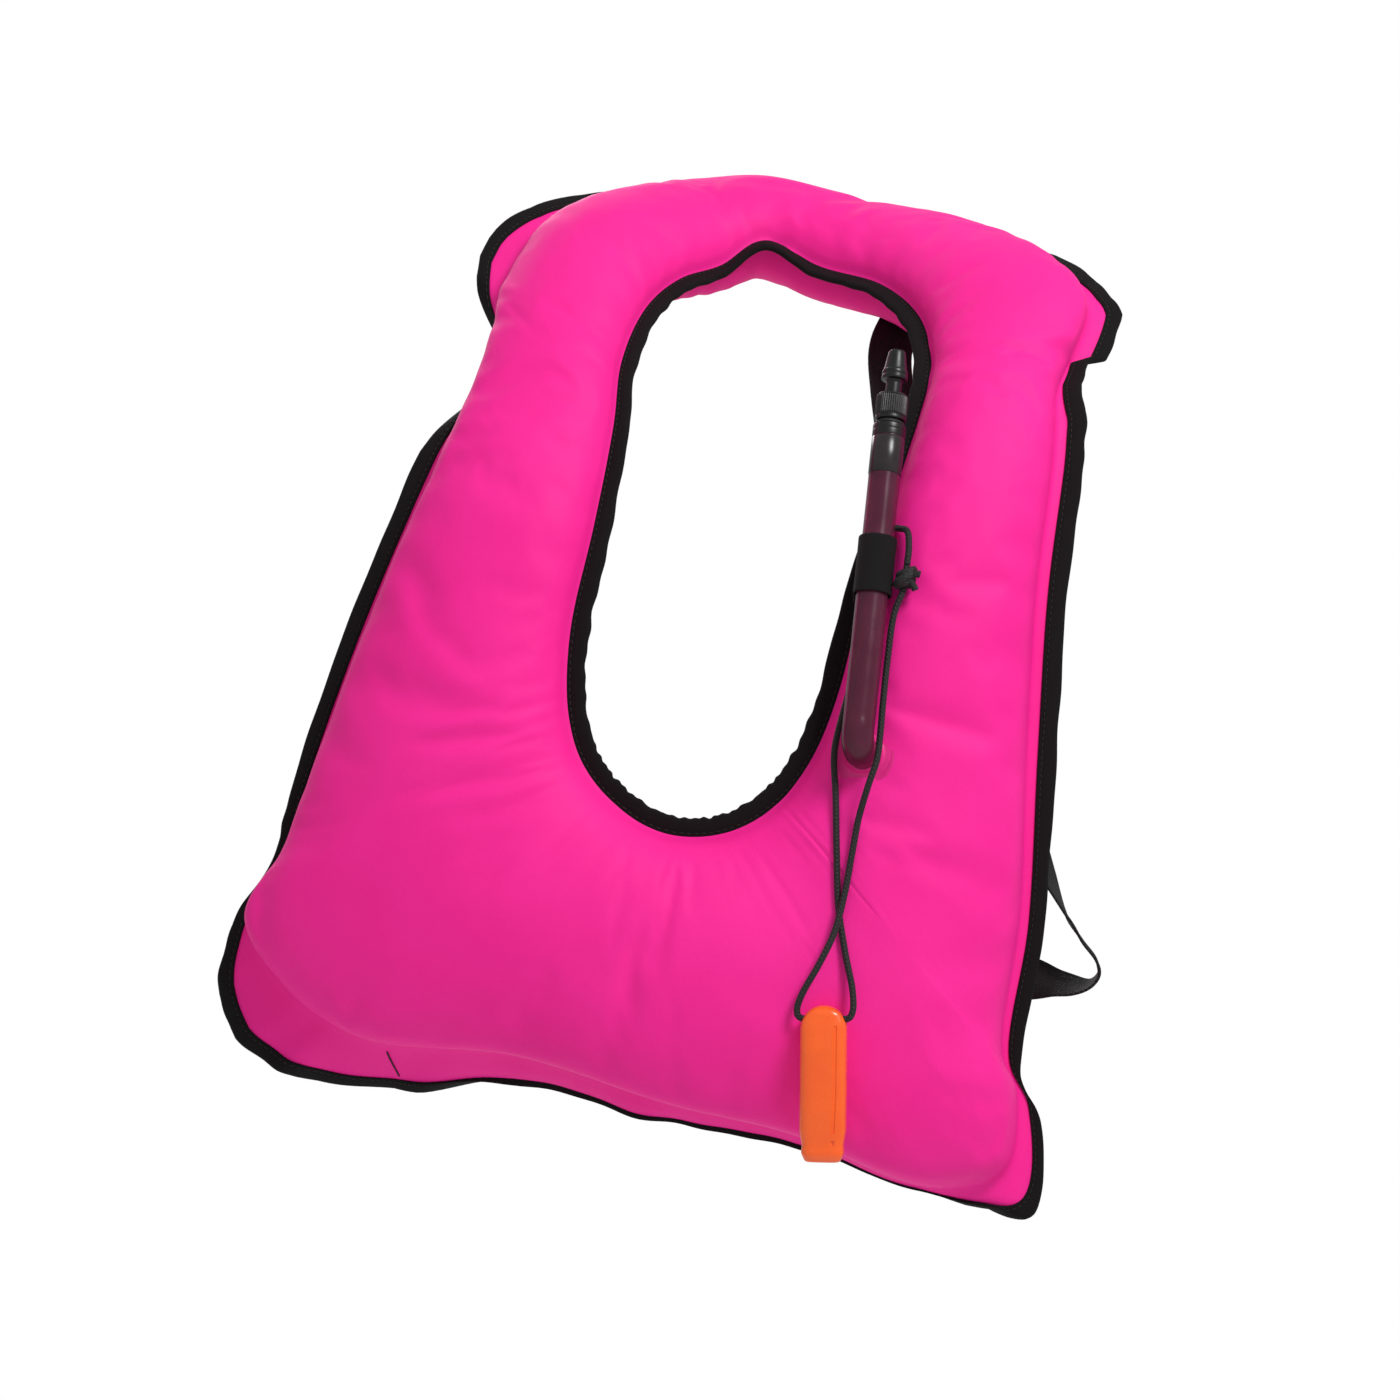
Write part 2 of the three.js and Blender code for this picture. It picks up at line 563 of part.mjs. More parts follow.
/** Flat pealess whistle, eyelet up: a rounded body with a blowing slot and two sound windows. */
function whistle() {
  const half = WHISTLE_WIDTH / 2;
  const depth = WHISTLE_DEPTH - 4;
  const outline = new THREE.Shape();
  outline.absarc(0, -half, half - 2, Math.PI, 0, true);
  outline.lineTo(half - 2, -WHISTLE_LENGTH + 16);
  outline.lineTo(half - 4, -WHISTLE_LENGTH + 2);
  outline.lineTo(-half + 4, -WHISTLE_LENGTH + 2);
  outline.lineTo(-half + 2, -WHISTLE_LENGTH + 16);
  const body = new THREE.ExtrudeGeometry(outline, {
    depth,
    bevelEnabled: true,
    bevelThickness: 2,
    bevelSize: 2,
    bevelSegments: 2,
    curveSegments: 12,
  });
  body.translate(0, 0, -depth / 2).rotateX(Math.PI / 2);
  const eyelet = rod(EYELET / 2, -30, 30, 12).rotateY(Math.PI / 2).translate(0, 0, -WHISTLE_EYE);
  const slot = block([-half + 5, -2.5, -WHISTLE_LENGTH - 1], [half - 5, 2.5, -WHISTLE_LENGTH + 50]);
  const windows = [-1, 1].map((s) =>
    block([Math.min(s * 6, s * 20), -2.4, -WHISTLE_LENGTH + 34], [Math.max(s * 6, s * 20), 2.4, -WHISTLE_LENGTH + 42]));
  return cut(body, eyelet, slot, ...windows).rotateY(-WHISTLE_LEAN).translate(...WHISTLE_TOP);
}
addPiece('whistle', whistle(), ORANGE);

// ---------------------------------------------------------------- straps, buckle and adjuster
const strap = (rows) => ribbon(rows, WEBBING_WIDTH, WEBBING);
const onPlane = ([x, behind]) => [[x, BELT_PLANE[0] + behind, BELT_PLANE[1]], [0, 0, 1]];

/** Adds a sewn patch and gives the rows of a strap that runs over it, from its far end. */
function sewnPatch(name, { row, column, way }) {
  const f = facet(-1, row, column, way);
  const low = [-PATCH_LENGTH / 2, -PATCH_WIDTH / 2, PATCH_LIFT];
  const high = [PATCH_LENGTH / 2, PATCH_WIDTH / 2, PATCH_LIFT + PATCH];
  addPiece(name, block(low, high).applyMatrix4(f.matrix), TAPE);
  const lift = PATCH_LIFT + PATCH + FIT + WEBBING / 2;
  return [1, -1].map((end) => {
    const centre = f.point.clone().addScaledVector(f.normal, lift);
    centre.addScaledVector(f.first, (end * PATCH_LENGTH) / 2);
    return [centre.toArray(), f.second.toArray()];
  });
}
const napeRows = sewnPatch('nape_patch', NAPE_PATCH);
const rightRows = sewnPatch('belt_patch_right', RIGHT_PATCH);
const leftRows = sewnPatch('belt_patch_left', LEFT_PATCH);
const harness = [...napeRows, ...HARNESS_DROP, ...rightRows, ...HARNESS_LOOP];
addPiece('harness_strap', strap([...harness, ...BELT_RIGHT.map(onPlane)]), TAPE);
addPiece('belt_left', strap([...BELT_LEFT.map(onPlane), ...leftRows.reverse()]), TAPE);

// The buckle and the adjuster lie in a plane behind the vest; x runs along the belt.
const [beltY, beltZ] = BELT_PLANE;
const onBelt = (geometry) => geometry.translate(0, beltY, beltZ);
const tall = WEBBING_WIDTH / 2 + 1;
const frameTall = tall + 3;
const adjuster = cut(
  block([ADJUSTER_X - 14, -1.5, -frameTall], [ADJUSTER_X + 14, 1.5, frameTall]),
  block([ADJUSTER_X + 2, -3, -tall], [ADJUSTER_X + 10, 3, tall]),
  block([ADJUSTER_X - 10, -3, -tall], [ADJUSTER_X - 2, 3, tall]),
);
addPiece('strap_adjuster', onBelt(adjuster), BLACK);

const female = cut(
  block([BUCKLE_X, -5.5, -frameTall], [BUCKLE_X + 41, 5.5, frameTall]),
  block([BUCKLE_X - 1, -3.3, -tall], [BUCKLE_X + 26, 3.3, tall]),
  block([BUCKLE_X + 29, -9, -tall], [BUCKLE_X + 37, 9, tall]),
  block([BUCKLE_X + 28.9, -9, -frameTall - 1], [BUCKLE_X + 42, -2.5, frameTall + 1]),
  block([BUCKLE_X + 28.9, 2.5, -frameTall - 1], [BUCKLE_X + 42, 9, frameTall + 1]),
  block([BUCKLE_X + 8, -4, -frameTall - 1], [BUCKLE_X + 20, 4, frameTall + 1]),
);
addPiece('buckle_female', onBelt(female), BLACK);

const male = join(
  cut(
    block([BUCKLE_X - 26, -5, -frameTall], [BUCKLE_X - FIT, 5, frameTall]),
    block([BUCKLE_X - 22, -9, -tall], [BUCKLE_X - 14, 9, tall]),
    block([BUCKLE_X - 27, -9, -frameTall - 1], [BUCKLE_X - 13.9, -2.5, frameTall + 1]),
    block([BUCKLE_X - 27, 2.5, -frameTall - 1], [BUCKLE_X - 13.9, 9, frameTall + 1]),
  ),
  block([BUCKLE_X - 4, -2.9, -2.5], [BUCKLE_X + 24, 2.9, 2.5]),
  block([BUCKLE_X - 4, -2.9, 8.5], [BUCKLE_X + 22, 2.9, 12.5]),
  block([BUCKLE_X - 4, -2.9, -12.5], [BUCKLE_X + 22, 2.9, -8.5]),
);
addPiece('buckle_male', onBelt(male), BLACK);

export default vest;
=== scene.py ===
"""Visual model of an inflatable snorkel vest with its oral tube, whistle, lanyard and belt."""

import logging
import math
from dataclasses import dataclass, field
from enum import Enum

import bmesh
import bpy
import numpy as np
from mathutils import Matrix, Vector


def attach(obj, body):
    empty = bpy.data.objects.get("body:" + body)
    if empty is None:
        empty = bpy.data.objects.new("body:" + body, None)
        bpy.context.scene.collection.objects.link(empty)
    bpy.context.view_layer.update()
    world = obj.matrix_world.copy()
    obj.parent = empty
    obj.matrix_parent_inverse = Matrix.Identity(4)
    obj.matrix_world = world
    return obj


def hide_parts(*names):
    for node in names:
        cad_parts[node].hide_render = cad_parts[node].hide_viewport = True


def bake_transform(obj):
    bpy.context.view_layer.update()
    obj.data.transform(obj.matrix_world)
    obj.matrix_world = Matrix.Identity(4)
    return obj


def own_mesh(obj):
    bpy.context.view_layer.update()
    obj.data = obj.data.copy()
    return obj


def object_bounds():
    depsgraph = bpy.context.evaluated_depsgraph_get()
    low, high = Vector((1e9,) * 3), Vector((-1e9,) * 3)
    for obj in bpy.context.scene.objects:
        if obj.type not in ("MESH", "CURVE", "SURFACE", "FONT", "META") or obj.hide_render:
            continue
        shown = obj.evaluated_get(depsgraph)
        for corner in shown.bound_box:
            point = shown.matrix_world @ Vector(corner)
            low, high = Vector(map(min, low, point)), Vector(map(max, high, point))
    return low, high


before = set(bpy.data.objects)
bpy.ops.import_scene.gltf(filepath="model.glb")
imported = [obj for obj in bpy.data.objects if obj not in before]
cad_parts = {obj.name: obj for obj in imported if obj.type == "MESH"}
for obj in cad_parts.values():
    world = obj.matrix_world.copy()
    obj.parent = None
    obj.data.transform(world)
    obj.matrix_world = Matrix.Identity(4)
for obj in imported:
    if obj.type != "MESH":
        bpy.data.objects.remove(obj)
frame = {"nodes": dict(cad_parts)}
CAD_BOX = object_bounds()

log = logging.getLogger("vest")

MM = 0.001
NAPE = np.array([-18.0, 140.0, 262.0])  # origin of the part on the pattern, in millimetres
BINDING_WIDTH = 9.5
SEAM_HALF = 0.95  # half the thickness of the two cover sheets at a seam
TAPE = 0.8
FIT = 0.3
TUBE_RADIUS = 8.4
TUBE_BORE = 7.0

Points = np.ndarray


def to_row(points: Points) -> Points:
    """Pattern millimetres to metres in the row frame."""
    return (np.asarray(points, float) - NAPE) * MM


def unit(v: Points) -> Points:
    """Each vector scaled to length one."""
    v = np.asarray(v, float)
    return v / np.linalg.norm(v, axis=-1, keepdims=True)


# ------------------------------------------------------------------ places read from the frame
FRONT = (0.0, -1.0, 0.0)
BACK = (0.0, 1.0, 0.0)


def cad_points(name: str) -> Points:
    """Distinct corners of a CAD node, in pattern millimetres.

    Args:
        name: Name of the node in the frame.

    Returns:
        One row for each corner.
    """
    vertices = frame["nodes"][name].data.vertices
    corners = np.array([tuple(v.co) for v in vertices], float) / MM
    return np.unique(corners.round(3), axis=0) + NAPE


def principal(points: Points) -> tuple[Points, Points]:
    """Middle of some points and their three axes, the widest spread first."""
    middle = points.mean(0)
    return middle, np.linalg.svd(points - middle)[2]


def facing(axis: Points, way: tuple) -> Points:
    """The axis, turned round where it points away from the given way."""
    return axis if np.dot(axis, way) > 0 else -axis


# ------------------------------------------------------------------ colours and node building
def linear(hex_colour: str) -> tuple[float, float, float, float]:
    """Turns an sRGB hex colour into linear RGBA.

    Args:
        hex_colour: Six hex digits with a leading '#'.

    Returns:
        Linear red, green, blue and an alpha of one.
    """
    channels = [int(hex_colour[i : i + 2], 16) / 255 for i in (1, 3, 5)]
    bent = [c / 12.92 if c <= 0.04045 else ((c + 0.055) / 1.055) ** 2.4 for c in channels]
    return (bent[0], bent[1], bent[2], 1.0)


def add_node(
    tree: bpy.types.NodeTree,
    kind: str,
    settings: dict | None = None,
    values: dict | None = None,
    links: dict | None = None,
) -> bpy.types.Node:
    """Adds one shader node with its settings, input values and incoming links.

    Args:
        tree: Node tree of the material.
        kind: Blender's name of the node type.
        settings: Attributes of the node itself.
        values: Input name or index to a fixed value.
        links: Input name or index to the output socket that feeds it.

    Returns:
        The new node.
    """
    node = tree.nodes.new(kind)
    for name, value in (settings or {}).items():
        setattr(node, name, value)
    for name, value in (values or {}).items():
        node.inputs[name].default_value = value
    for name, socket in (links or {}).items():
        tree.links.new(socket, node.inputs[name])
    return node


def ramp(tree: bpy.types.NodeTree, socket: bpy.types.NodeSocket, stops: list) -> bpy.types.Node:
    """Colour ramp over a factor.

    Args:
        tree: Node tree of the material.
        socket: Factor that drives the ramp.
        stops: Pairs of position and sRGB hex colour.

    Returns:
        The ramp node.
    """
    node = add_node(tree, "ShaderNodeValToRGB", links={"Fac": socket})
    elements = node.color_ramp.elements
    while len(elements) < len(stops):
        elements.new(0.5)
    for element, (position, colour) in zip(elements, stops):
        element.position = position
        element.color = linear(colour)
    return node


def new_material(name: str) -> tuple[bpy.types.Material, bpy.types.NodeTree, bpy.types.Node]:
    """Empty material with one principled shader.

    Returns:
        The material, its tree and the shader node.
    """
    material = bpy.data.materials.new(name)
    material.use_nodes = True
    tree = material.node_tree
    tree.nodes.clear()
    shader = add_node(tree, "ShaderNodeBsdfPrincipled")
    add_node(tree, "ShaderNodeOutputMaterial", links={"Surface": shader.outputs["BSDF"]})
    return material, tree, shader


@dataclass(frozen=True)
class WovenFinish:
    """Woven cloth, tape or webbing with threads both ways, drawn from the weave coordinates.

    thread is the spacing in millimetres. Real 210 denier nylon has three threads a millimetre,
    too fine to show, so the cover's threads are drawn coarser.
    """

    name: str
    light: str
    dark: str
    thread: float
    roughness: float
    sheen: float
    bump: float
    crease: float = 0.0
    rib: float = 1.0  # how much coarser the threads across are
    specular: float = 0.25

    def build(self) -> bpy.types.Material:
        """Woven material."""
        material, tree, shader = new_material(self.name)
        uv = add_node(tree, "ShaderNodeUVMap", {"uv_map": "weave"})
        split = add_node(tree, "ShaderNodeSeparateXYZ", links={"Vector": uv.outputs["UV"]})
        step = 2 * math.pi / (self.thread * MM)
        waves = []
        for axis, scale in (("X", step), ("Y", step / self.rib)):
            phase = add_node(
                tree, "ShaderNodeMath", {"operation": "MULTIPLY"}, {1: scale}, {0: split.outputs[axis]}
            )
            waves.append(
                add_node(tree, "ShaderNodeMath", {"operation": "SINE"}, links={0: phase.outputs[0]})
            )
        weave = add_node(
            tree,
            "ShaderNodeMath",
            {"operation": "MULTIPLY"},
            links={0: waves[0].outputs[0], 1: waves[1].outputs[0]},
        )
        place = add_node(tree, "ShaderNodeTexCoord")
        broad = add_node(
            tree,
            "ShaderNodeTexNoise",
            values={"Scale": 14.0, "Detail": 5.0, "Roughness": 0.55},
            links={"Vector": place.outputs["Object"]},
        )
        fine = add_node(
            tree,
            "ShaderNodeTexNoise",
            values={"Scale": 900.0, "Detail": 2.0},
            links={"Vector": place.outputs["Object"]},
        )
        blend = add_node(
            tree,
            "ShaderNodeMix",
            {"data_type": "FLOAT"},
            {0: 0.3},
            {2: broad.outputs["Fac"], 3: fine.outputs["Fac"]},
        )
        colour = ramp(tree, blend.outputs[0], [(0.3, self.dark), (0.7, self.light)])
        tree.links.new(colour.outputs["Color"], shader.inputs["Base Color"])
        rough = add_node(
            tree,
            "ShaderNodeMapRange",
            values={"From Min": 0.3, "From Max": 0.7, "To Min": self.roughness - 0.06,
                    "To Max": self.roughness + 0.06},
            links={"Value": broad.outputs["Fac"]},
        )
        tree.links.new(rough.outputs["Result"], shader.inputs["Roughness"])
        threads = add_node(
            tree,
            "ShaderNodeBump",
            values={"Strength": self.bump, "Distance": self.thread * 0.12 * MM},
            links={"Height": weave.outputs[0]},
        )
        last = threads
        if self.crease > 0:
            folds = add_node(
                tree,
                "ShaderNodeTexNoise",
                values={"Scale": 55.0, "Detail": 6.0, "Roughness": 0.5, "Distortion": 0.8},
                links={"Vector": place.outputs["Object"]},
            )
            last = add_node(
                tree,
                "ShaderNodeBump",
                values={"Strength": self.crease, "Distance": 1.2 * MM},
                links={"Height": folds.outputs["Fac"], "Normal": threads.outputs["Normal"]},
            )
        tree.links.new(last.outputs["Normal"], shader.inputs["Normal"])
        shader.inputs["Sheen Weight"].default_value = self.sheen
        shader.inputs["Sheen Roughness"].default_value = 0.4
        shader.inputs["Sheen Tint"].default_value = linear(self.light)
        shader.inputs["Specular IOR Level"].default_value = self.specular
        shader.inputs["IOR"].default_value = 1.53
        return material


@dataclass(frozen=True)
class MouldedFinish:
    """Injection-moulded or dipped plastic and rubber with a faint spark-eroded grain."""

    name: str
    light: str
    dark: str
    roughness: float
    ior: float = 1.46
    grain: float = 0.25
    coat: float = 0.0
    transmission: float = 0.0
    subsurface: float = 0.0

    def build(self) -> bpy.types.Material:
        """Moulded material."""
        material, tree, shader = new_material(self.name)
        place = add_node(tree, "ShaderNodeTexCoord")
        grain = add_node(
            tree,
            "ShaderNodeTexNoise",
            values={"Scale": 1400.0, "Detail": 3.0},
            links={"Vector": place.outputs["Object"]},
        )
        wear = add_node(
            tree,
            "ShaderNodeTexNoise",
            values={"Scale": 60.0, "Detail": 6.0, "Roughness": 0.6},
            links={"Vector": place.outputs["Object"]},
        )
        colour = ramp(tree, wear.outputs["Fac"], [(0.3, self.dark), (0.65, self.light)])
        tree.links.new(colour.outputs["Color"], shader.inputs["Base Color"])
        rough = add_node(
            tree,
            "ShaderNodeMapRange",
            values={"From Min": 0.3, "From Max": 0.7, "To Min": max(0.03, self.roughness - 0.06),
                    "To Max": self.roughness + 0.08},
            links={"Value": wear.outputs["Fac"]},
        )
        tree.links.new(rough.outputs["Result"], shader.inputs["Roughness"])
        bump = add_node(
            tree,
            "ShaderNodeBump",
            values={"Strength": self.grain, "Distance": 0.05 * MM},
            links={"Height": grain.outputs["Fac"]},
        )
        tree.links.new(bump.outputs["Normal"], shader.inputs["Normal"])
        shader.inputs["IOR"].default_value = self.ior
        shader.inputs["Coat Weight"].default_value = self.coat
        shader.inputs["Coat Roughness"].default_value = 0.12
        shader.inputs["Transmission Weight"].default_value = self.transmission
        shader.inputs["Subsurface Weight"].default_value = self.subsurface
        shader.inputs["Subsurface Scale"].default_value = 1.5 * MM
        return material


@dataclass(frozen=True)
class DrawnSteelFinish:
    """Stainless spring wire, drawn through a die, so its fine lines run along the wire."""

    name: str = "drawn_stainless_wire"
    tone: str = "#b9bcc0"
    worn: str = "#8d9095"

    def build(self) -> bpy.types.Material:
        """Steel material with the default IOR of a metal."""
        material, tree, shader = new_material(self.name)
        place = add_node(tree, "ShaderNodeTexCoord")
        lines = add_node(
            tree,
            "ShaderNodeTexNoise",
            values={"Scale": 2500.0, "Detail": 2.0},
            links={"Vector": place.outputs["Object"]},
        )
        colour = ramp(tree, lines.outputs["Fac"], [(0.3, self.worn), (0.7, self.tone)])
        tree.links.new(colour.outputs["Color"], shader.inputs["Base Color"])
        bump = add_node(
            tree,
            "ShaderNodeBump",
            values={"Strength": 0.2, "Distance": 0.02 * MM},
            links={"Height": lines.outputs["Fac"]},
        )
        tree.links.new(bump.outputs["Normal"], shader.inputs["Normal"])
        shader.inputs["Metallic"].default_value = 1.0
        shader.inputs["Roughness"].default_value = 0.28
        return material


@dataclass(frozen=True)
class BraidFinish:
    """Braided polyester cord: slanting strands that cross, drawn from the weave coordinates."""

    name: str = "braided_polyester_cord"
    light: str = "#0b090a"
    dark: str = "#050404"
    pitch: float = 2.2  # millimetres between strands

    def build(self) -> bpy.types.Material:
        """Braid material."""
        material, tree, shader = new_material(self.name)
        uv = add_node(tree, "ShaderNodeUVMap", {"uv_map": "weave"})
        split = add_node(tree, "ShaderNodeSeparateXYZ", links={"Vector": uv.outputs["UV"]})
        step = 2 * math.pi / (self.pitch * MM)
        slants = []
        for sign in (1, -1):
            turned = add_node(
                tree, "ShaderNodeMath", {"operation": "MULTIPLY"}, {1: float(sign)}, {0: split.outputs["Y"]}
            )
            added = add_node(
                tree,
                "ShaderNodeMath",
                {"operation": "ADD"},
                links={0: split.outputs["X"], 1: turned.outputs[0]},
            )
            phase = add_node(
                tree, "ShaderNodeMath", {"operation": "MULTIPLY"}, {1: step}, {0: added.outputs[0]}
            )
            slants.append(
                add_node(tree, "ShaderNodeMath", {"operation": "SINE"}, links={0: phase.outputs[0]})
            )
        braid = add_node(
            tree,
            "ShaderNodeMath",
            {"operation": "MAXIMUM"},
            links={0: slants[0].outputs[0], 1: slants[1].outputs[0]},
        )
        colour = ramp(tree, braid.outputs[0], [(0.0, self.dark), (1.0, self.light)])
        tree.links.new(colour.outputs["Color"], shader.inputs["Base Color"])
        bump = add_node(
            tree,
            "ShaderNodeBump",
            values={"Strength": 0.7, "Distance": 0.25 * MM},
            links={"Height": braid.outputs[0]},
        )
        tree.links.new(bump.outputs["Normal"], shader.inputs["Normal"])
        shader.inputs["Roughness"].default_value = 0.62
        shader.inputs["Sheen Weight"].default_value = 0.05
        shader.inputs["IOR"].default_value = 1.5
        return material


# Coated nylon: plain woven, satin because the coating and the pull of the air flatten it.
COVER_NYLON = WovenFinish(
    "coated_nylon_cover", "#fb2a9a", "#f32091", 0.9, 0.58, 0.0, 0.3, crease=0.1, specular=0.16
)
# Flexible moulded urethane, welded flat: smoother and a little darker than the cloth.
PORT_URETHANE = MouldedFinish("moulded_urethane_port", "#e51a86", "#d41278", 0.5, 1.5, 0.3)
# Polyester twill tape folded over the edge: matte and nearly black with a warm cast.
EDGE_TAPE = WovenFinish(
    "polyester_binding_tape", "#0f0b0c", "#0a0707", 1.1, 0.85, 0.04, 0.9, rib=1.6, specular=0.2
)
SEWING_THREAD = WovenFinish("bonded_sewing_thread", "#221c1c", "#121010", 0.5, 0.5, 0.05, 0.4)
# Urethane film of the bladder: milky and slightly glossy.
BLADDER_FILM = MouldedFinish("urethane_film", "#efd6e2", "#e2c2d2", 0.3, 1.5, 0.2)
# Near-black glossy band where the tube grips the barrel.
SMOKE_SLEEVE = MouldedFinish("smoke_grey_vinyl_sleeve", "#2a2427", "#1c1719", 0.22, 1.45, 0.12)
# Smoke-tinted flexible vinyl tube, with an index of refraction below that of real vinyl.
SMOKE_VINYL = MouldedFinish(
    "smoke_tinted_vinyl_tube", "#9c486c", "#8a3c5e", 0.2, 1.32, 0.12, transmission=0.78
)
ELASTIC = WovenFinish("ribbed_elastic_band", "#141111", "#080707", 1.3, 0.85, 0.04, 1.0, rib=0.6)
# Acetal of the valve and buckles: hard, satin, with a spark-eroded mould grain.
BLACK_ACETAL = MouldedFinish("moulded_black_acetal", "#0d0d0e", "#070708", 0.32, 1.48, 0.32)
GREY_ABS = MouldedFinish("moulded_grey_abs", "#8e9093", "#7d7f83", 0.35, 1.54, 0.3)
SEAL_RUBBER = MouldedFinish("nitrile_seal_rubber", "#1a1a1a", "#0e0e0e", 0.55, 1.52, 0.4)
# Glossy polystyrene whistle: bright, slightly translucent at its thin edges.
WHISTLE_PLASTIC = MouldedFinish(
    "glossy_orange_polystyrene", "#ff6208", "#fb5d10", 0.24, 1.59, 0.1, coat=0.25, subsurface=0.12
)
WEBBING = WovenFinish("polypropylene_webbing", "#161313", "#0a0808", 1.6, 0.66, 0.05, 1.0, rib=1.5)
PATCH_CLOTH = WovenFinish("reinforcing_cordura", "#161313", "#0a0808", 1.0, 0.85, 0.05, 0.9)
SPRING_STEEL = DrawnSteelFinish()
CORD_BRAID = BraidFinish()


# ------------------------------------------------------------------ mesh helpers
def make_object(
    name: str,
    points: Points,
    faces: list,
    weave: Points | None = None,
    smooth: bool = True,
) -> bpy.types.Object:
    """Object from points and faces.

    Args:
        name: Name of the piece.
        points: Vertices in metres in the row frame.
        faces: Vertex indices of each face.
        weave: Weave coordinates of each vertex, in metres.
        smooth: Whether the faces are shaded smooth.

    Returns:
        The new object, linked to the scene.
    """
    mesh = bpy.data.meshes.new(name)
    mesh.from_pydata([tuple(p) for p in np.asarray(points, float)], [], [tuple(f) for f in faces])
    mesh.update()
    if weave is None:
        weave = np.asarray(points)[:, [0, 2]]
    layer = mesh.uv_layers.new(name="weave")
    corners = np.zeros(len(mesh.loops), np.int64)
    mesh.loops.foreach_get("vertex_index", corners)
    layer.data.foreach_set("uv", np.asarray(weave, np.float32)[corners].ravel())
    mesh.polygons.foreach_set("use_smooth", [smooth] * len(mesh.polygons))
    obj = bpy.data.objects.new(name, mesh)
    bpy.context.collection.objects.link(obj)
    return obj


def grid_faces(rows: int, columns: int, close_rows: bool, close_columns: bool) -> list:
    """Quads of a grid whose vertices are numbered row by row.

    Args:
        rows: Number of rows.
        columns: Number of vertices in a row.
        close_rows: Whether the last row joins the first.
        close_columns: Whether each row closes on itself.

    Returns:
        Lists of four vertex numbers.
    """
    i = np.arange(rows if close_rows else rows - 1)
    j = np.arange(columns if close_columns else columns - 1)
    a, b = np.meshgrid(i, j, indexing="ij")
    a, b = a.ravel(), b.ravel()
    c, d = (a + 1) % rows, (b + 1) % columns
    quads = np.stack([a * columns + b, a * columns + d, c * columns + d, c * columns + b], 1)
    return quads.tolist()


def outward(obj: bpy.types.Object) -> bpy.types.Object:
    """Turns every face of a closed mesh outwards."""
    bm = bmesh.new()
    bm.from_mesh(obj.data)
    bmesh.ops.recalc_face_normals(bm, faces=bm.faces)
    bm.to_mesh(obj.data)
    bm.free()
    return obj


def join_meshes(name: str, parts: list) -> bpy.types.Object:
    """One object from several, which are removed.

    Args:
        name: Name of the joined piece.
        parts: Objects with meshes in the row frame.

    Returns:
        The joined object.
    """
    base = parts[0]
    with bpy.context.temp_override(
        active_object=base, object=base, selected_objects=parts, selected_editable_objects=parts
    ):
        bpy.ops.object.join()
    base.name = name
    base.data.name = name
    return base


def dress(obj: bpy.types.Object, material: bpy.types.Material) -> bpy.types.Object:
    """Gives the object its one material."""
    obj.data.materials.clear()
    obj.data.materials.append(material)
    return obj


def apply_modifiers(obj: bpy.types.Object) -> bpy.types.Object:
    """Makes the evaluated shape the object's own mesh."""
    graph = bpy.context.evaluated_depsgraph_get()
    made = bpy.data.meshes.new_from_object(obj.evaluated_get(graph), depsgraph=graph)
    made.name = obj.data.name
    obj.modifiers.clear()
    obj.data = made
    return obj


def spline(points: Points, per_span: int, closed: bool = False) -> Points:
    """Centripetal Catmull-Rom curve through points.

    Args:
        points: Control points, one a row.
        per_span: Samples between two neighbouring points.
        closed: Whether the curve closes on itself.

    Returns:
        Points along the curve.
    """
    p = np.asarray(points, float)
    if closed:
        stations = np.arange(len(p) * per_span) / per_span
    else:
        stations = np.arange((len(p) - 1) * per_span + 1) / per_span
    return spline_at(p, stations, closed)


def spline_at(points: Points, at: Points, closed: bool) -> Points:
    """Centripetal Catmull-Rom curve read at given stations.

    Args:
        points: Control points, one a row.
        at: Stations, in whole numbers at the control points.
        closed: Whether the curve closes on itself.

    Returns:
        One point for each station.
    """
    p = np.asarray(points, float)
    n = len(p)
    at = np.asarray(at, float)
    if closed:
        at = np.mod(at, n)
        k = np.floor(at).astype(int)
        quad = [p[(k + o) % n] for o in (-1, 0, 1, 2)]
    else:
        k = np.clip(np.floor(at).astype(int), 0, n - 2)
        padded = np.vstack([2 * p[0] - p[1], p, 2 * p[-1] - p[-2]])
        quad = [padded[k + o] for o in (0, 1, 2, 3)]
    w = (at - k)[:, None]
    gaps = [np.linalg.norm(b - a, axis=1) ** 0.5 for a, b in zip(quad, quad[1:])]
    middle = np.where(gaps[1] < 1e-4, 1.0, gaps[1])
    first = np.where(gaps[0] < 1e-4, middle, gaps[0])[:, None]
    last = np.where(gaps[2] < 1e-4, middle, gaps[2])[:, None]
    middle = middle[:, None]
    p0, p1, p2, p3 = quad
    t1 = ((p1 - p0) / first - (p2 - p0) / (first + middle) + (p2 - p1) / middle) * middle
    t2 = ((p2 - p1) / middle - (p3 - p1) / (middle + last) + (p3 - p2) / last) * middle
    return (
        p1
        + t1 * w
        + (-3 * p1 + 3 * p2 - 2 * t1 - t2) * w**2
        + (2 * p1 - 2 * p2 + t1 + t2) * w**3
    )


def lengths_along(path: Points) -> Points:
    """Distance of each point from the start of the path."""
    steps = np.linalg.norm(np.diff(path, axis=0), axis=1)
    return np.concatenate([[0.0], np.cumsum(steps)])


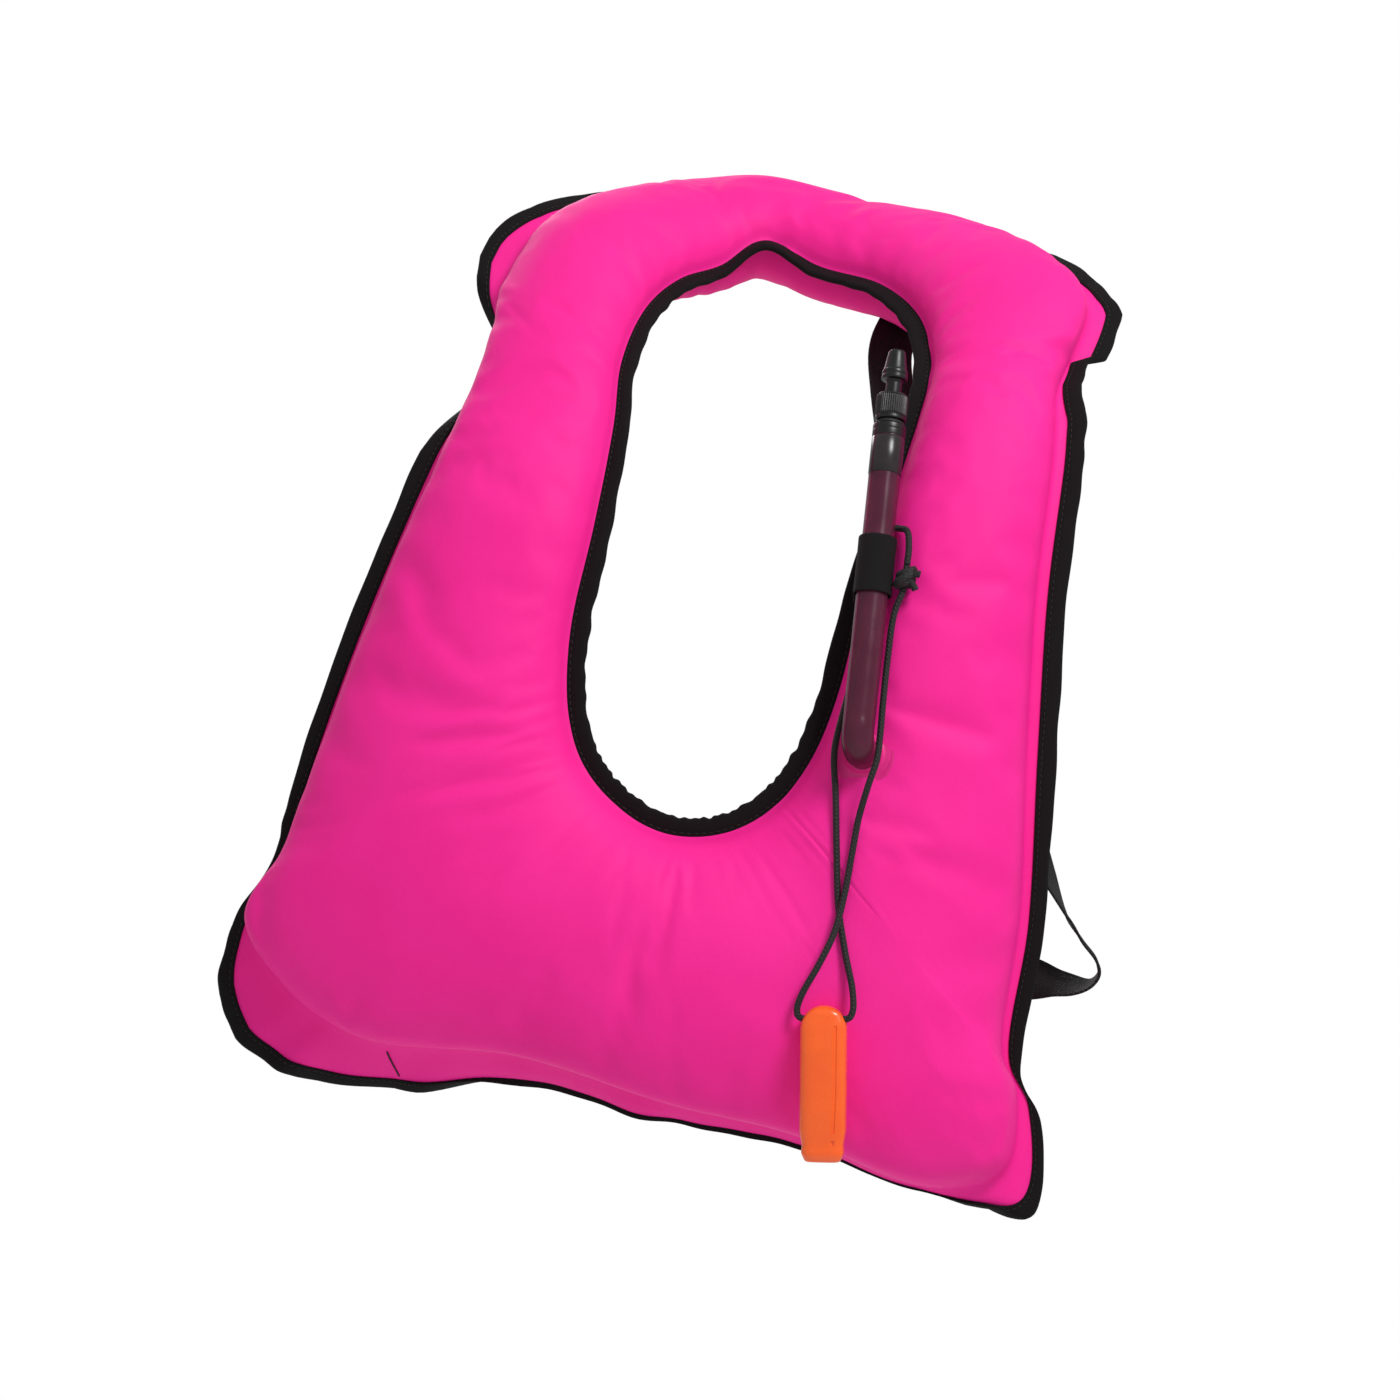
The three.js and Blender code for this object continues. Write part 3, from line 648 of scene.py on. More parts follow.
def sweep_frames(path: Points) -> tuple[Points, Points]:
    """Two directions square to an open path that turn as little as possible.

    Args:
        path: Points of the path.

    Returns:
        The first and second direction at each point.
    """
    tangent = unit(np.gradient(path, axis=0))
    side = np.cross(tangent[0], [0.0, 0.0, 1.0])
    if np.linalg.norm(side) < 1e-3:
        side = np.cross(tangent[0], [1.0, 0.0, 0.0])
    first = np.zeros_like(path)
    first[0] = unit(side)
    for k in range(1, len(path)):
        carried = first[k - 1] - tangent[k] * np.dot(first[k - 1], tangent[k])
        first[k] = unit(carried)
    return first, np.cross(tangent, first)


def tube_mesh(name: str, path: Points, radius: float | Points, sides: int) -> bpy.types.Object:
    """Round closed tube along an open path, with weave coordinates round and along it.

    Args:
        name: Name of the piece.
        path: Centre line in metres.
        radius: One radius, or one for each point.
        sides: Vertices round the section.

    Returns:
        The tube as an object.
    """
    first, second = sweep_frames(path)
    turn = np.arange(sides) * 2 * math.pi / sides
    radii = np.broadcast_to(np.asarray(radius, float), (len(path),))
    ring = (
        np.cos(turn)[None, :, None] * first[:, None]
        + np.sin(turn)[None, :, None] * second[:, None]
    )
    points = path[:, None] + ring * radii[:, None, None]
    along = lengths_along(path)
    weave = np.stack(
        np.broadcast_arrays(
            (turn / (2 * math.pi) * round(2 * math.pi * radii.max() / 0.0022) * 0.0022)[None, :],
            along[:, None],
        ),
        -1,
    )
    count = len(path) * sides
    points = np.vstack([points.reshape(-1, 3), path[:1], path[-1:]])
    weave = np.vstack([weave.reshape(-1, 2), [[0.0, 0.0]], [[0.0, along[-1]]]])
    faces = grid_faces(len(path), sides, False, True)
    for k in range(sides):
        j = (k + 1) % sides
        faces.append((count, j, k))
        faces.append((count + 1, count - sides + k, count - sides + j))
    return outward(make_object(name, points, faces, weave))


def turned_mesh(name: str, profile: list, sides: int, place: Matrix) -> bpy.types.Object:
    """Solid of revolution from a closed profile.

    Args:
        name: Name of the piece.
        profile: Closed list of radius and height in millimetres.
        sides: Vertices round the axis.
        place: Matrix that carries millimetres on the Z axis to the row frame.

    Returns:
        The turned object.
    """
    outline = np.asarray(profile, float)
    turn = np.arange(sides) * 2 * math.pi / sides
    rings = np.stack(
        [
            outline[None, :, 0] * np.cos(turn)[:, None],
            outline[None, :, 0] * np.sin(turn)[:, None],
            np.broadcast_to(outline[None, :, 1], (sides, len(outline))),
        ],
        -1,
    ).reshape(-1, 3)
    obj = make_object(name, rings, grid_faces(sides, len(outline), True, True))
    bm = bmesh.new()
    bm.from_mesh(obj.data)
    bmesh.ops.remove_doubles(bm, verts=bm.verts, dist=1e-4)
    bm.to_mesh(obj.data)
    bm.free()
    obj.data.transform(place)
    return outward(obj)


def rounded(profile: list, radius: float, steps: int = 3) -> list:
    """Rounds the corners of a closed profile.

    Args:
        profile: Corners as pairs in millimetres.
        radius: Radius of each round, kept under half of its edges.
        steps: Points on each round, less one.

    Returns:
        The profile with its corners rounded.
    """
    p = np.asarray(profile, float)
    made = []
    for k, corner in enumerate(p):
        before, after = p[k - 1] - corner, p[(k + 1) % len(p)] - corner
        room = min(np.linalg.norm(before), np.linalg.norm(after)) * 0.45
        if corner[0] < 1e-6 or room < 1e-6:
            made.append(tuple(corner))
            continue
        r = min(radius, room)
        a, b = corner + unit(before) * r, corner + unit(after) * r
        for t in np.linspace(0, 1, steps + 1):
            made.append(tuple((1 - t) ** 2 * a + 2 * t * (1 - t) * corner + t**2 * b))
    return made


# ------------------------------------------------------------------ the pattern surface
# Each station round the vest: neck edge, rim edge, front and back bulge, flat hem (millimetres).
STATIONS = (
    ((-18, 140, 262), (-35, 230, 300), 28, 28, 16),
    ((12, 134, 250), (39, 215, 296), 28, 28, 16),
    ((47, 115, 242), (113, 175, 288), 28, 28, 16),
    ((71, 90, 224), (164, 125, 273), 27, 27, 18),
    ((82, 65, 200), (184, 100, 255), 26, 26, 18),
    ((83, 50, 182), (185, 75, 220), 25, 26, 18),
    ((81, 38, 161), (178, 50, 193), 26, 26, 16),
    ((76, 22, 125), (180, 35, 155), 27, 27, 16),
    ((68, 10, 70), (182, 25, 88), 29, 28, 16),
    ((63, 4, 15), (190, 25, -2), 33, 31, 16),
    ((57, 1, -14), (198, 29, -95), 38, 35, 16),
    ((49, 0, -33), (198, 30, -170), 42, 38, 16),
    ((42, 0, -43), (212, 32, -193), 43, 39, 20),
    ((33, 0, -52), (215, 30, -243), 43, 39, 27),
    ((22, 0, -59), (160, 21, -247), 43, 39, 14),
    ((10, 0, -63), (95, 12, -238), 42, 38, 22),
    ((-4, 0, -64), (20, 10, -241), 42, 38, 30),
    ((-17, 0, -61), (-75, 13, -237), 42, 38, 39),
    ((-29, 0, -55), (-186, 28, -243), 43, 39, 47),
    ((-40, 0, -47), (-228, 38, -210), 43, 39, 36),
    ((-49, 0, -37), (-239, 42, -162), 43, 39, 13),
    ((-56, 0, -24), (-222, 40, -124), 41, 38, 11),
    ((-62, 1, -4), (-218, 38, -88), 39, 36, 14),
    ((-65, 4, 28), (-200, 34, 10), 34, 32, 14),
    ((-63, 10, 75), (-176, 40, 110), 29, 28, 14),
    ((-64, 28, 135), (-162, 72, 172), 26, 26, 16),
    ((-69, 52, 172), (-164, 98, 208), 25, 26, 18),
    ((-66, 86, 207), (-152, 138, 262), 26, 26, 18),
    ((-55, 111, 228), (-115, 178, 287), 27, 27, 16),
    ((-37, 131, 242), (-78, 213, 298), 28, 28, 16),
)


# How the blown-up cover differs from the flat pattern, as pairs of station and size.
FOLD_BACK = (  # degrees that the rim margin is turned behind the bulge
    (0, 0), (2.6, 0), (3.3, 15), (4.9, 18), (5.02, 0), (13.6, 0), (14.2, 28), (16, 38), (17.6, 38),
    (18.3, 14), (18.9, 0), (24.0, 0), (24.6, 58), (25.6, 60), (25.95, 18), (26.1, 0), (30, 0),
)
REACH = (  # millimetres that the rim margin reaches past the flat pattern
    (0, 0), (3.8, 0), (4.2, 3), (4.9, 3), (5.02, -7), (5.6, -5), (6.3, 0), (18.2, 0),
    (18.8, 7), (19.3, 7), (20, 0), (25.7, 0), (26.0, 5), (26.3, 10), (26.6, 8), (27.0, 2), (27.4, 0), (30, 0),
)
SHIFT = (  # millimetres that the outer part of the bulge moves with it
    (0, 0), (4.2, 0), (5.0, -5), (5.6, -4), (6.4, 0), (25.4, 0), (26.1, 5), (26.5, 7), (27.0, 3),
    (27.6, 0), (30, 0),
)
TUCK = ((0, 0), (13.1, 0), (13.4, 66), (17.0, 74), (17.45, 0), (30, 0))  # degrees the tape turns under
OVERHANG = (  # millimetres that the front bulge hangs over the rim margin
    (0, 3), (3, 6), (4.9, 8), (5.1, 2), (12, 2), (13.6, 7), (14.5, 12), (18.6, 14), (21.5, 9),
    (22.5, 3), (24.2, 4), (25, 11), (25.9, 11), (26.5, 3), (30, 3),
)
BACK_PEEK = (  # millimetres that the back bulge stands past the neck
    (0, 4), (3, 11), (4, 15), (6, 15), (7.5, 4), (9, 2), (25, 2), (28, 4), (30, 4),
)
FLUTTER = ((0, 0), (13.2, 0), (14.2, 1.6), (16, 2.2), (18.2, 3.4), (19.2, 2.0), (20, 0), (30, 0))


# Creases of the front: two ends on the pattern, depth and half width, in millimetres.
CREASES = (
    ((-148, -48), (-91, -33), 0.9, 5.0),
    ((-149, -77), (-88, -54), 1.0, 5.0),
    ((-126, -84), (-65, -64), 0.7, 5.0),
    ((-153, 117), (-131, 127), 2.2, 3.5),
    ((-147, 146), (-117, 164), 1.2, 4.0),
    ((-141, 131), (-121, 140), 1.2, 3.5),
    ((76, 199), (175, 216), 0.9, 5.0),
    ((160, -183), (192, -183), 1.6, 4.0),
    ((168, -192), (190, -190), 1.0, 3.5),
    ((-10, 282), (-14, 249), 1.2, 4.5),
)


@dataclass(frozen=True)
class Seam:
    """Cross-frames of the pattern at many stations; every field is an array over them."""

    neck: Points
    across: Points
    normal: Points
    width: Points
    front: Points
    back: Points
    hem: Points
    fold: Points
    over: Points
    peek: Points
    flutter: Points
    tuck: Points
    reach: Points
    shift: Points


def by_station(at: Points, pairs: tuple) -> Points:
    """Size at each station from pairs of station and size."""
    return np.interp(np.mod(at, len(STATIONS)), [p[0] for p in pairs], [p[1] for p in pairs])


@dataclass
class PatternSurface:
    """The flat pattern of the vest bent into its worn shape, in millimetres."""

    stations: tuple = STATIONS
    rows: int = 360

    def seam(self, at: Points) -> Seam:
        """Cross-frames at the given stations.

        Args:
            at: Stations, where 0 is the nape and 30 is the nape again.

        Returns:
            The frames.
        """
        neck = np.array([s[0] for s in self.stations], float)
        rim = np.array([s[1] for s in self.stations], float)
        fill = np.array([s[2:] for s in self.stations], float)
        step = 0.01 * len(self.stations)

        def middle(offset: float) -> Points:
            """Twice the middle line of the vest, a little along from each station."""
            return spline_at(neck, at + offset, True) + spline_at(rim, at + offset, True)

        near = spline_at(neck, at, True)
        across = spline_at(rim, at, True) - near
        width = np.linalg.norm(across, axis=1)
        across = unit(across)
        normal = unit(np.cross(middle(step) - middle(-step), across))
        bulge = spline_at(fill, at, True)
        ripple = np.sin(at * 5.9) + 0.7 * np.sin(at * 9.7 + 1.0) + 0.5 * np.sin(at * 15.1 + 2.0)
        return Seam(
            near,
            across,
            normal,
            width,
            bulge[:, 0],
            bulge[:, 1],
            bulge[:, 2],
            np.radians(by_station(at, FOLD_BACK)),
            by_station(at, OVERHANG),
            by_station(at, BACK_PEEK),
            by_station(at, FLUTTER) * ripple / 1.5,
            np.radians(by_station(at, TUCK)),
            by_station(at, REACH),
            by_station(at, SHIFT),
        )

    def stations_at(self, rows: int) -> Points:
        """Station of each of a number of rows round the vest."""
        return np.arange(rows) * len(self.stations) / rows

    def girth(self, at: Points, share: float) -> Points:
        """Distance round the vest of each station, along a line at a share of the width.

        Args:
            at: Stations in order round the vest.
            share: 0 on the neck edge and 1 on the rim.

        Returns:
            Millimetres from the first station, with the whole girth added as a last value.
        """
        seam = self.seam(at)
        line = seam.neck + seam.across * (seam.width * share)[:, None]
        closed = np.vstack([line, line[:1]])
        return lengths_along(closed)


PATTERN = PatternSurface()


def on_seam(seam: Seam, d: Points, h: Points) -> Points:
    """Points at distances across the strip and heights over its middle, with the cover blown up.

    Args:
        seam: Cross-frames, one a row.
        d: Distances across, rows by columns.
        h: Heights, rows by columns.

    Returns:
        Points, rows by columns by three.
    """
    end = (seam.width - seam.hem)[:, None]
    v = np.clip((d - BINDING_WIDTH) / (end - BINDING_WIDTH), 0, 1)
    lean = np.where(h > 0, seam.over[:, None] * np.sin(math.pi * v**4), 0.0)
    lean = lean - np.where(h < 0, seam.peek[:, None] * np.sin(math.pi * (1 - v) ** 4), 0.0)
    past = np.clip(d - end, 0, None)
    ease = np.clip(past / 5.0, 0, 1)
    turn = seam.fold[:, None] * ease * ease * (3 - 2 * ease)
    margin = past > 0
    # the taped edge rolls under about a line just inside the tape
    hinge = (seam.width - BINDING_WIDTH - 2.0)[:, None]
    rolled = np.clip(d - hinge, 0, None)
    soft = np.clip(rolled / 3.0, 0, 1)
    roll = seam.tuck[:, None] * soft
    height = h
    h = np.where(rolled > 0, height * np.cos(roll) - rolled * np.sin(roll), h)
    past = np.where(
        rolled > 0, hinge - end + rolled * np.cos(roll) + height * np.sin(roll), past
    )
    past = np.maximum(past, 0)
    h = h + np.where(margin, seam.flutter[:, None] * (past / seam.hem[:, None]) ** 0.8 * ease, 0.0)
    across = np.where(margin, end + past * np.cos(turn) + h * np.sin(turn), d + lean)
    outer = np.clip((d / seam.width[:, None] - 0.55) / 0.35, 0, 1)
    across = across + seam.reach[:, None] * ease + seam.shift[:, None] * outer**2 * (3 - 2 * outer)
    up = np.where(margin, h * np.cos(turn) - past * np.sin(turn), h)
    return (
        seam.neck[:, None]
        + seam.across[:, None] * across[..., None]
        + seam.normal[:, None] * up[..., None]
    )


# ------------------------------------------------------------------ cover and bladder
@dataclass
class VestCover:
    """Front and back nylon of the vest as one closed skin, with the puckers of a blown-up cover."""

    rows: int = 390
    columns: int = 32
    frames: int = 20
    cap: float = 5.0  # the furthest the simulation moves a point, in millimetres
    keep_clear: tuple = ()

    def grid(self) -> tuple[Points, Points, Points, Seam]:
        """Rest shape of the skin.

        Returns:
            Points in millimetres, share across of each column, side of each column, and the seam.
        """
        at = PATTERN.stations_at(self.rows)
        seam = PATTERN.seam(at)
        inner = (1 - np.cos(np.linspace(0, math.pi, self.columns))) / 2
        inner = 0.6 * inner + 0.4 * np.linspace(0, 1, self.columns)
        start = np.full(self.rows, BINDING_WIDTH)
        end = seam.width - seam.hem
        margin = np.linspace(0, 1, 4)
        left = margin[None, :] * start[:, None]
        middle = start[:, None] + inner[None, 1:-1] * (end - start)[:, None]
        right = end[:, None] + margin[None, :] * (seam.width - end)[:, None]
        d = np.hstack([left, middle, right])
        v = np.clip((d - start[:, None]) / (end - start)[:, None], 0, 1)
        rise = 2 * np.sqrt(v * (1 - v))
        # the film pulls the cloth down in a short flat step beside each weld
        rise *= 1 - 0.06 * np.exp(-((v - 0.03) / 0.02) ** 2) - 0.06 * np.exp(-((v - 0.97) / 0.02) ** 2)
        front = SEAM_HALF + seam.front[:, None] * rise
        back = -(SEAM_HALF + seam.back[:, None] * rise)
        points = np.concatenate(
            [on_seam(seam, d, front), on_seam(seam, d, back)[:, ::-1]], axis=1
        )
        share = np.concatenate([v, v[:, ::-1]], axis=1)
        side = np.concatenate([np.ones_like(v), -np.ones_like(v)], axis=1)
        return points, share, side, seam

    def weave(self, points: Points) -> Points:
        """Weave coordinates in metres, laid flat on each side so that the threads run straight."""
        flat = points.reshape(-1, 3)
        return flat[:, [0, 2]] * MM

    def relax(self, obj: bpy.types.Object, pinned: Points) -> Points:
        """Lets the cloth settle under the pressure of the bladder, with its seams held.

        Args:
            obj: The skin.
            pinned: Hold of each vertex, from 0 to 1.

        Returns:
            How far each vertex moved, in metres.
        """
        rest = np.array([v.co for v in obj.data.vertices])
        group = obj.vertex_groups.new(name="held")
        for k, hold in enumerate(pinned):
            if hold > 0:
                group.add([k], float(hold), "REPLACE")
        cloth = obj.modifiers.new("Cloth", "CLOTH")
        settings = cloth.settings
        settings.quality = 6
        settings.mass = 0.15
        settings.tension_stiffness = 12
        settings.compression_stiffness = 12
        settings.shear_stiffness = 4
        settings.bending_stiffness = 0.35
        settings.shrink_min = -0.045
        settings.shrink_max = -0.045
        settings.use_pressure = True
        settings.uniform_pressure_force = 4.0
        settings.effector_weights.gravity = 0
        settings.vertex_group_mass = "held"
        cloth.collision_settings.use_collision = False
        cloth.collision_settings.use_self_collision = False
        scene = bpy.context.scene
        cloth.point_cache.frame_start = 1
        cloth.point_cache.frame_end = self.frames
        for step in range(1, self.frames + 1):
            scene.frame_set(step)
        graph = bpy.context.evaluated_depsgraph_get()
        settled = obj.evaluated_get(graph).to_mesh()
        moved = np.array([v.co for v in settled.vertices])
        obj.evaluated_get(graph).to_mesh_clear()
        obj.modifiers.clear()
        obj.vertex_groups.clear()
        scene.frame_set(1)
        return moved - rest

    def puckers(self, share: Points, side: Points, seam: Seam) -> Points:
        """Height of the small folds that run square to the seams.

        Args:
            share: Place of each point between the welds.
            side: 1 on the front and -1 on the back.
            seam: Cross-frames of the rows.

        Returns:
            Heights in millimetres, rows by columns.
        """
        rng = np.random.default_rng(7)
        rows = share.shape[0]
        turn = np.arange(rows) * 2 * math.pi / rows
        made = np.zeros_like(share)
        at = PATTERN.stations_at(rows)
        rim_shares = (
            (0, 0.6), (4, 1.1), (9, 1.0), (11, 0.4), (23, 0.35), (25, 1.2), (27, 1.0), (30, 0.6),
        )
        by_rim = by_station(at, rim_shares)
        by_neck = by_station(at, ((0, 1.0), (3, 0.7), (6, 0.25), (24, 0.25), (27, 0.6), (30, 1.0)))
        for edge, reach in ((0.0, 0.2), (1.0, 0.16)):
            where = by_neck if edge == 0 else by_rim
            for which in (1, -1):
                fold = np.zeros(rows)
                for count in range(26, 92, 3):
                    fold += rng.normal() * np.sin(count * turn + rng.uniform(0, 2 * math.pi)) / 4.6
                patch = np.zeros(rows)
                for count in range(2, 12):
                    patch += rng.normal() * np.sin(count * turn + rng.uniform(0, 2 * math.pi)) / 2.6
                strength = where * (0.35 + 0.65 * np.clip(patch + 0.2, 0, 1.6))
                near = np.exp(-((share - edge) / reach) ** 2) * np.clip(
                    np.abs(share - edge) / 0.03, 0, 1
                )
                made += np.where(side == which, near * (fold * strength)[:, None], 0.0)
        return made * 0.85

    @staticmethod
    def creases(points: Points, side: Points) -> Points:
        """Height of the single creases, each a groove between two low ridges.

        Args:
            points: Rest shape of the skin.
            side: 1 on the front and -1 on the back.

        Returns:
            Heights in millimetres, rows by columns.
        """
        flat = points[..., [0, 2]]
        made = np.zeros(side.shape)
        for start, end, depth, half in CREASES:
            a, b = np.array(start, float), np.array(end, float)
            length = np.linalg.norm(b - a)
            way = (b - a) / length
            along = (flat - a) @ way
            off = np.abs((flat - a) @ np.array([-way[1], way[0]]))
            taper = np.clip(np.minimum(along, length - along) / (0.3 * length) + 0.3, 0, 1)
            groove = np.exp(-((off / half) ** 2)) - 0.6 * np.exp(-(((off - 1.9 * half) / half) ** 2))
            made -= np.where(side > 0, depth * groove * taper, 0.0)
        return made

    def build(self) -> bpy.types.Object:
        """The finished skin, riding on the vest."""
        points, share, side, seam = self.grid()
        rows, columns = share.shape
        normal = seam.normal[:, None] * side[..., None]
        folds = self.puckers(share, side, seam) + self.creases(points, side)
        folded = points + normal * folds[..., None]
        obj = make_object(
            "cover_nylon",
            to_row(folded.reshape(-1, 3)),
            grid_faces(rows, columns, True, True),
            self.weave(points),
        )
        outward(obj)
        hold = np.clip(1 - (np.minimum(share, 1 - share) - 0.0) / 0.04, 0, 1)
        moved = self.relax(obj, hold.ravel()).reshape(rows, columns, 3) / MM
        out = (moved * normal).sum(-1)
        free = np.clip(0.6 * (out - smooth_field(out, 12)), -self.cap, self.cap)
        log.info("cover moved %.1f mm at most", float(np.abs(out).max()))
        folded = folded + normal * free[..., None]
        for centre, reach in self.keep_clear:
            away = np.linalg.norm(points - np.asarray(centre), axis=2)
            ease = np.clip(1.6 - away / reach, 0, 1)[..., None]
            folded = folded * (1 - ease) + (points - normal * 0.6) * ease
        row = to_row(folded.reshape(-1, 3))
        obj.data.vertices.foreach_set("co", row.astype(np.float32).ravel())
        obj.data.update()
        obj.modifiers.new("smooth", "SUBSURF").levels = 1
        apply_modifiers(obj)
        dress(obj, COVER_NYLON.build())
        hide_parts("front_shell", "back_shell")
        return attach(obj, "vest")


def smooth_field(values: Points, passes: int) -> Points:
    """Averages each value of a grid that closes both ways with its neighbours, several times."""
    made = values
    for _ in range(passes):
        made = (
            made
            + np.roll(made, 1, 0)
            + np.roll(made, -1, 0)
            + np.roll(made, 1, 1)
            + np.roll(made, -1, 1)
        ) / 5
    return made


def bar_tack(at: float = 17.57) -> bpy.types.Object:
    """Dense zigzag of thread across the bottom hem, which ends the seam of the flap.

    Args:
        at: Station of the tack.

    Returns:
        The stitches as one piece.
    """
    seam = PATTERN.seam(np.linspace(at + 0.19, at + 0.04, 26))
    share = np.linspace(0.2, 0.72, 26)
    d = (seam.width - seam.hem * (1 - share))[:, None]
    line = on_seam(seam, d, np.full_like(d, SEAM_HALF + 0.3))[:, 0]
    side = np.cross(seam.normal, seam.across) * 0.7
    zigzag = line + side * np.where(np.arange(26) % 2 == 0, 1, -1)[:, None]
    return stitch_row("hem_bar_tack", zigzag[:-1], zigzag[1:], 0.42, "vest")


@dataclass
class Bladder:
    """Welded air bladder that lies inside the cover."""

    inset: float = 6.0
    gap: float = 6.0

    def build(self) -> bpy.types.Object:
        """The bladder with its flat weld round both edges."""
        at = PATTERN.stations_at(150)
        seam = PATTERN.seam(at)
        v = (1 - np.cos(np.linspace(0, math.pi, 13))) / 2
        start = np.full(150, BINDING_WIDTH + self.inset)
        end = seam.width - seam.hem - self.inset
        d = start[:, None] + v[None] * (end - start)[:, None]
        rise = 2 * np.sqrt(v * (1 - v))[None]
        front = 0.3 + np.maximum(seam.front - self.gap, 1)[:, None] * rise
        back = -0.3 - np.maximum(seam.back - self.gap, 1)[:, None] * rise
        points = np.concatenate([on_seam(seam, d, front), on_seam(seam, d, back)[:, ::-1]], axis=1)
        obj = make_object(
            "air_bladder", to_row(points.reshape(-1, 3)), grid_faces(150, 26, True, True)
        )
        outward(obj)
        dress(obj, BLADDER_FILM.build())
        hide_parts("bladder")
        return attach(obj, "vest")


# ------------------------------------------------------------------ bindings and stitching
@dataclass
class EdgeBinding:
    """Tape folded over an edge, with the row of stitches that holds it."""

    name: str
    node: str
    at_rim: bool
    rows: int
    stitch_pitch: float = 3.4

    def section(self) -> Points:
        """Closed section: distance in from the edge and height."""
        outer = SEAM_HALF + FIT + TAPE
        top = [(BINDING_WIDTH, 0.2), (BINDING_WIDTH, outer - 0.35), (BINDING_WIDTH - 0.5, outer)]
        top += [(8.2, outer), (7.3, outer - 0.32), (6.4, outer), (4.0, outer), (1.2, outer)]
        arc = [
            (1.2 - 2.3 * math.sin(a), outer * math.cos(a))
            for a in np.linspace(0, math.pi, 9)[1:-1]
        ]
        under = [(x, -y) for x, y in reversed(top)]
        return np.array(top + arc + under)

    def build(self) -> bpy.types.Object:
        """Tape and stitches as one piece on the vest."""
        at = PATTERN.stations_at(self.rows)
        seam = PATTERN.seam(at)
        section = self.section()
        share = 1.0 if self.at_rim else 0.0
        inward = -1.0 if self.at_rim else 1.0
        edge = seam.width * share
        d = edge[:, None] + inward * section[None, :, 0]
        rng = np.random.default_rng(3 if self.at_rim else 4)
        turn = at * 2 * math.pi / len(STATIONS)
        wave = sum(
            rng.normal() * np.sin(n * turn + rng.uniform(0, 6.28)) for n in range(20, 90, 7)
        )
        d = d + (0.12 * wave)[:, None] * (section[None, :, 0] < 9)
        h = np.broadcast_to(section[None, :, 1], d.shape)
        points = on_seam(seam, d, h)
        along = PATTERN.girth(at, share)[:-1]
        round_it = lengths_along(section)
        weave = np.stack(np.broadcast_arrays(along[:, None], round_it[None, :]), -1) * MM
        tape = make_object(
            self.name,
            to_row(points.reshape(-1, 3)),
            grid_faces(self.rows, len(section), True, True),
            weave.reshape(-1, 2),
        )
        outward(tape)
        dress(tape, EDGE_TAPE.build())
        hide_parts(self.node)
        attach(tape, "vest")
        self.stitches(share, inward)
        return tape

    def stitches(self, share: float, inward: float) -> bpy.types.Object:
        """Lockstitches on both faces of the tape.

        Args:
            share: 0 on the neck edge and 1 on the rim.
            inward: Which way leads from the edge into the strip.

        Returns:
            All the stitches as one piece.
        """
        fine = PATTERN.stations_at(2400)
        girth = PATTERN.girth(fine, share)
        count = int(girth[-1] / self.stitch_pitch)
        length = girth[-1] / count
        stops = np.interp(
            np.concatenate([np.arange(count) * length, np.arange(count) * length + length * 0.72]),
            girth,
            np.append(fine, len(STATIONS)),
        )
        seam = PATTERN.seam(stops)
        d = (seam.width * share + inward * 7.3)[:, None]
        height = SEAM_HALF + FIT + TAPE - 0.12
        starts, ends = [], []
        for side in (1, -1):
            line = on_seam(seam, d, np.full_like(d, side * height))[:, 0]
            starts.append(line[:count])
            ends.append(line[count:])
        return stitch_row(
            f"{self.name}_stitches", np.vstack(starts), np.vstack(ends), 0.36, "vest"
        )


def stitch_row(
    name: str, starts: Points, ends: Points, radius: float, body: str, ride: bool = True
) -> bpy.types.Object:
    """Small threads from each start to each end.

    Args:
        name: Name of the piece.
        starts: First ends, in pattern millimetres.
        ends: Second ends.
        radius: Radius of the thread in millimetres.
        body: Body that the stitches ride on.
        ride: Whether to mount the stitches now.

    Returns:
        One object with every stitch.
    """
    way = unit(ends - starts)
    helper = np.where(np.abs(way[:, 2:3]) < 0.9, [[0.0, 0.0, 1.0]], [[1.0, 0.0, 0.0]])
    first = unit(np.cross(way, helper))
    second = np.cross(way, first)
    turn = np.arange(6) * math.pi / 3
    ring = (
        np.cos(turn)[None, :, None] * first[:, None] + np.sin(turn)[None, :, None] * second[:, None]
    ) * radius
    stops = [(0.0, 0.25), (0.12, 0.95), (0.5, 1.15), (0.88, 0.95), (1.0, 0.25)]
    rings = [
        starts[:, None] + (ends - starts)[:, None] * t + ring * scale for t, scale in stops
    ]
    points = np.stack(rings, 1).reshape(-1, 3)
    faces = []
    for k in range(len(starts)):
        base = k * 30
        for j in range(4):
            for i in range(6):
                a, b = base + j * 6 + i, base + j * 6 + (i + 1) % 6
                faces.append((a, b, b + 6, a + 6))
        faces.append(tuple(base + i for i in range(6))[::-1])
        faces.append(tuple(base + 24 + i for i in range(6)))
    obj = make_object(name, to_row(points), faces)
    outward(obj)
    dress(obj, SEWING_THREAD.build())
    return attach(obj, body) if ride else obj


# ------------------------------------------------------------------ inflation tube and oral valve
SPIGOT_DEPTH = 8.0  # how far the flange's spigot reaches in below the port point
PORT_REACH = 19.0  # from the port point out to the corner of the elbow


def port_place() -> tuple[Points, Points]:
    """Port point on the cover and its way out, from the turned flange of the frame.

    Returns:
        The point in pattern millimetres and the unit vector out of the cover.
    """
    corners = cad_points("port_flange")
    middle, axes = principal(corners)
    out = facing(axes[2], FRONT)
    foot = ((corners - middle) @ out).min()
    return middle + out * (foot + SPIGOT_DEPTH), out


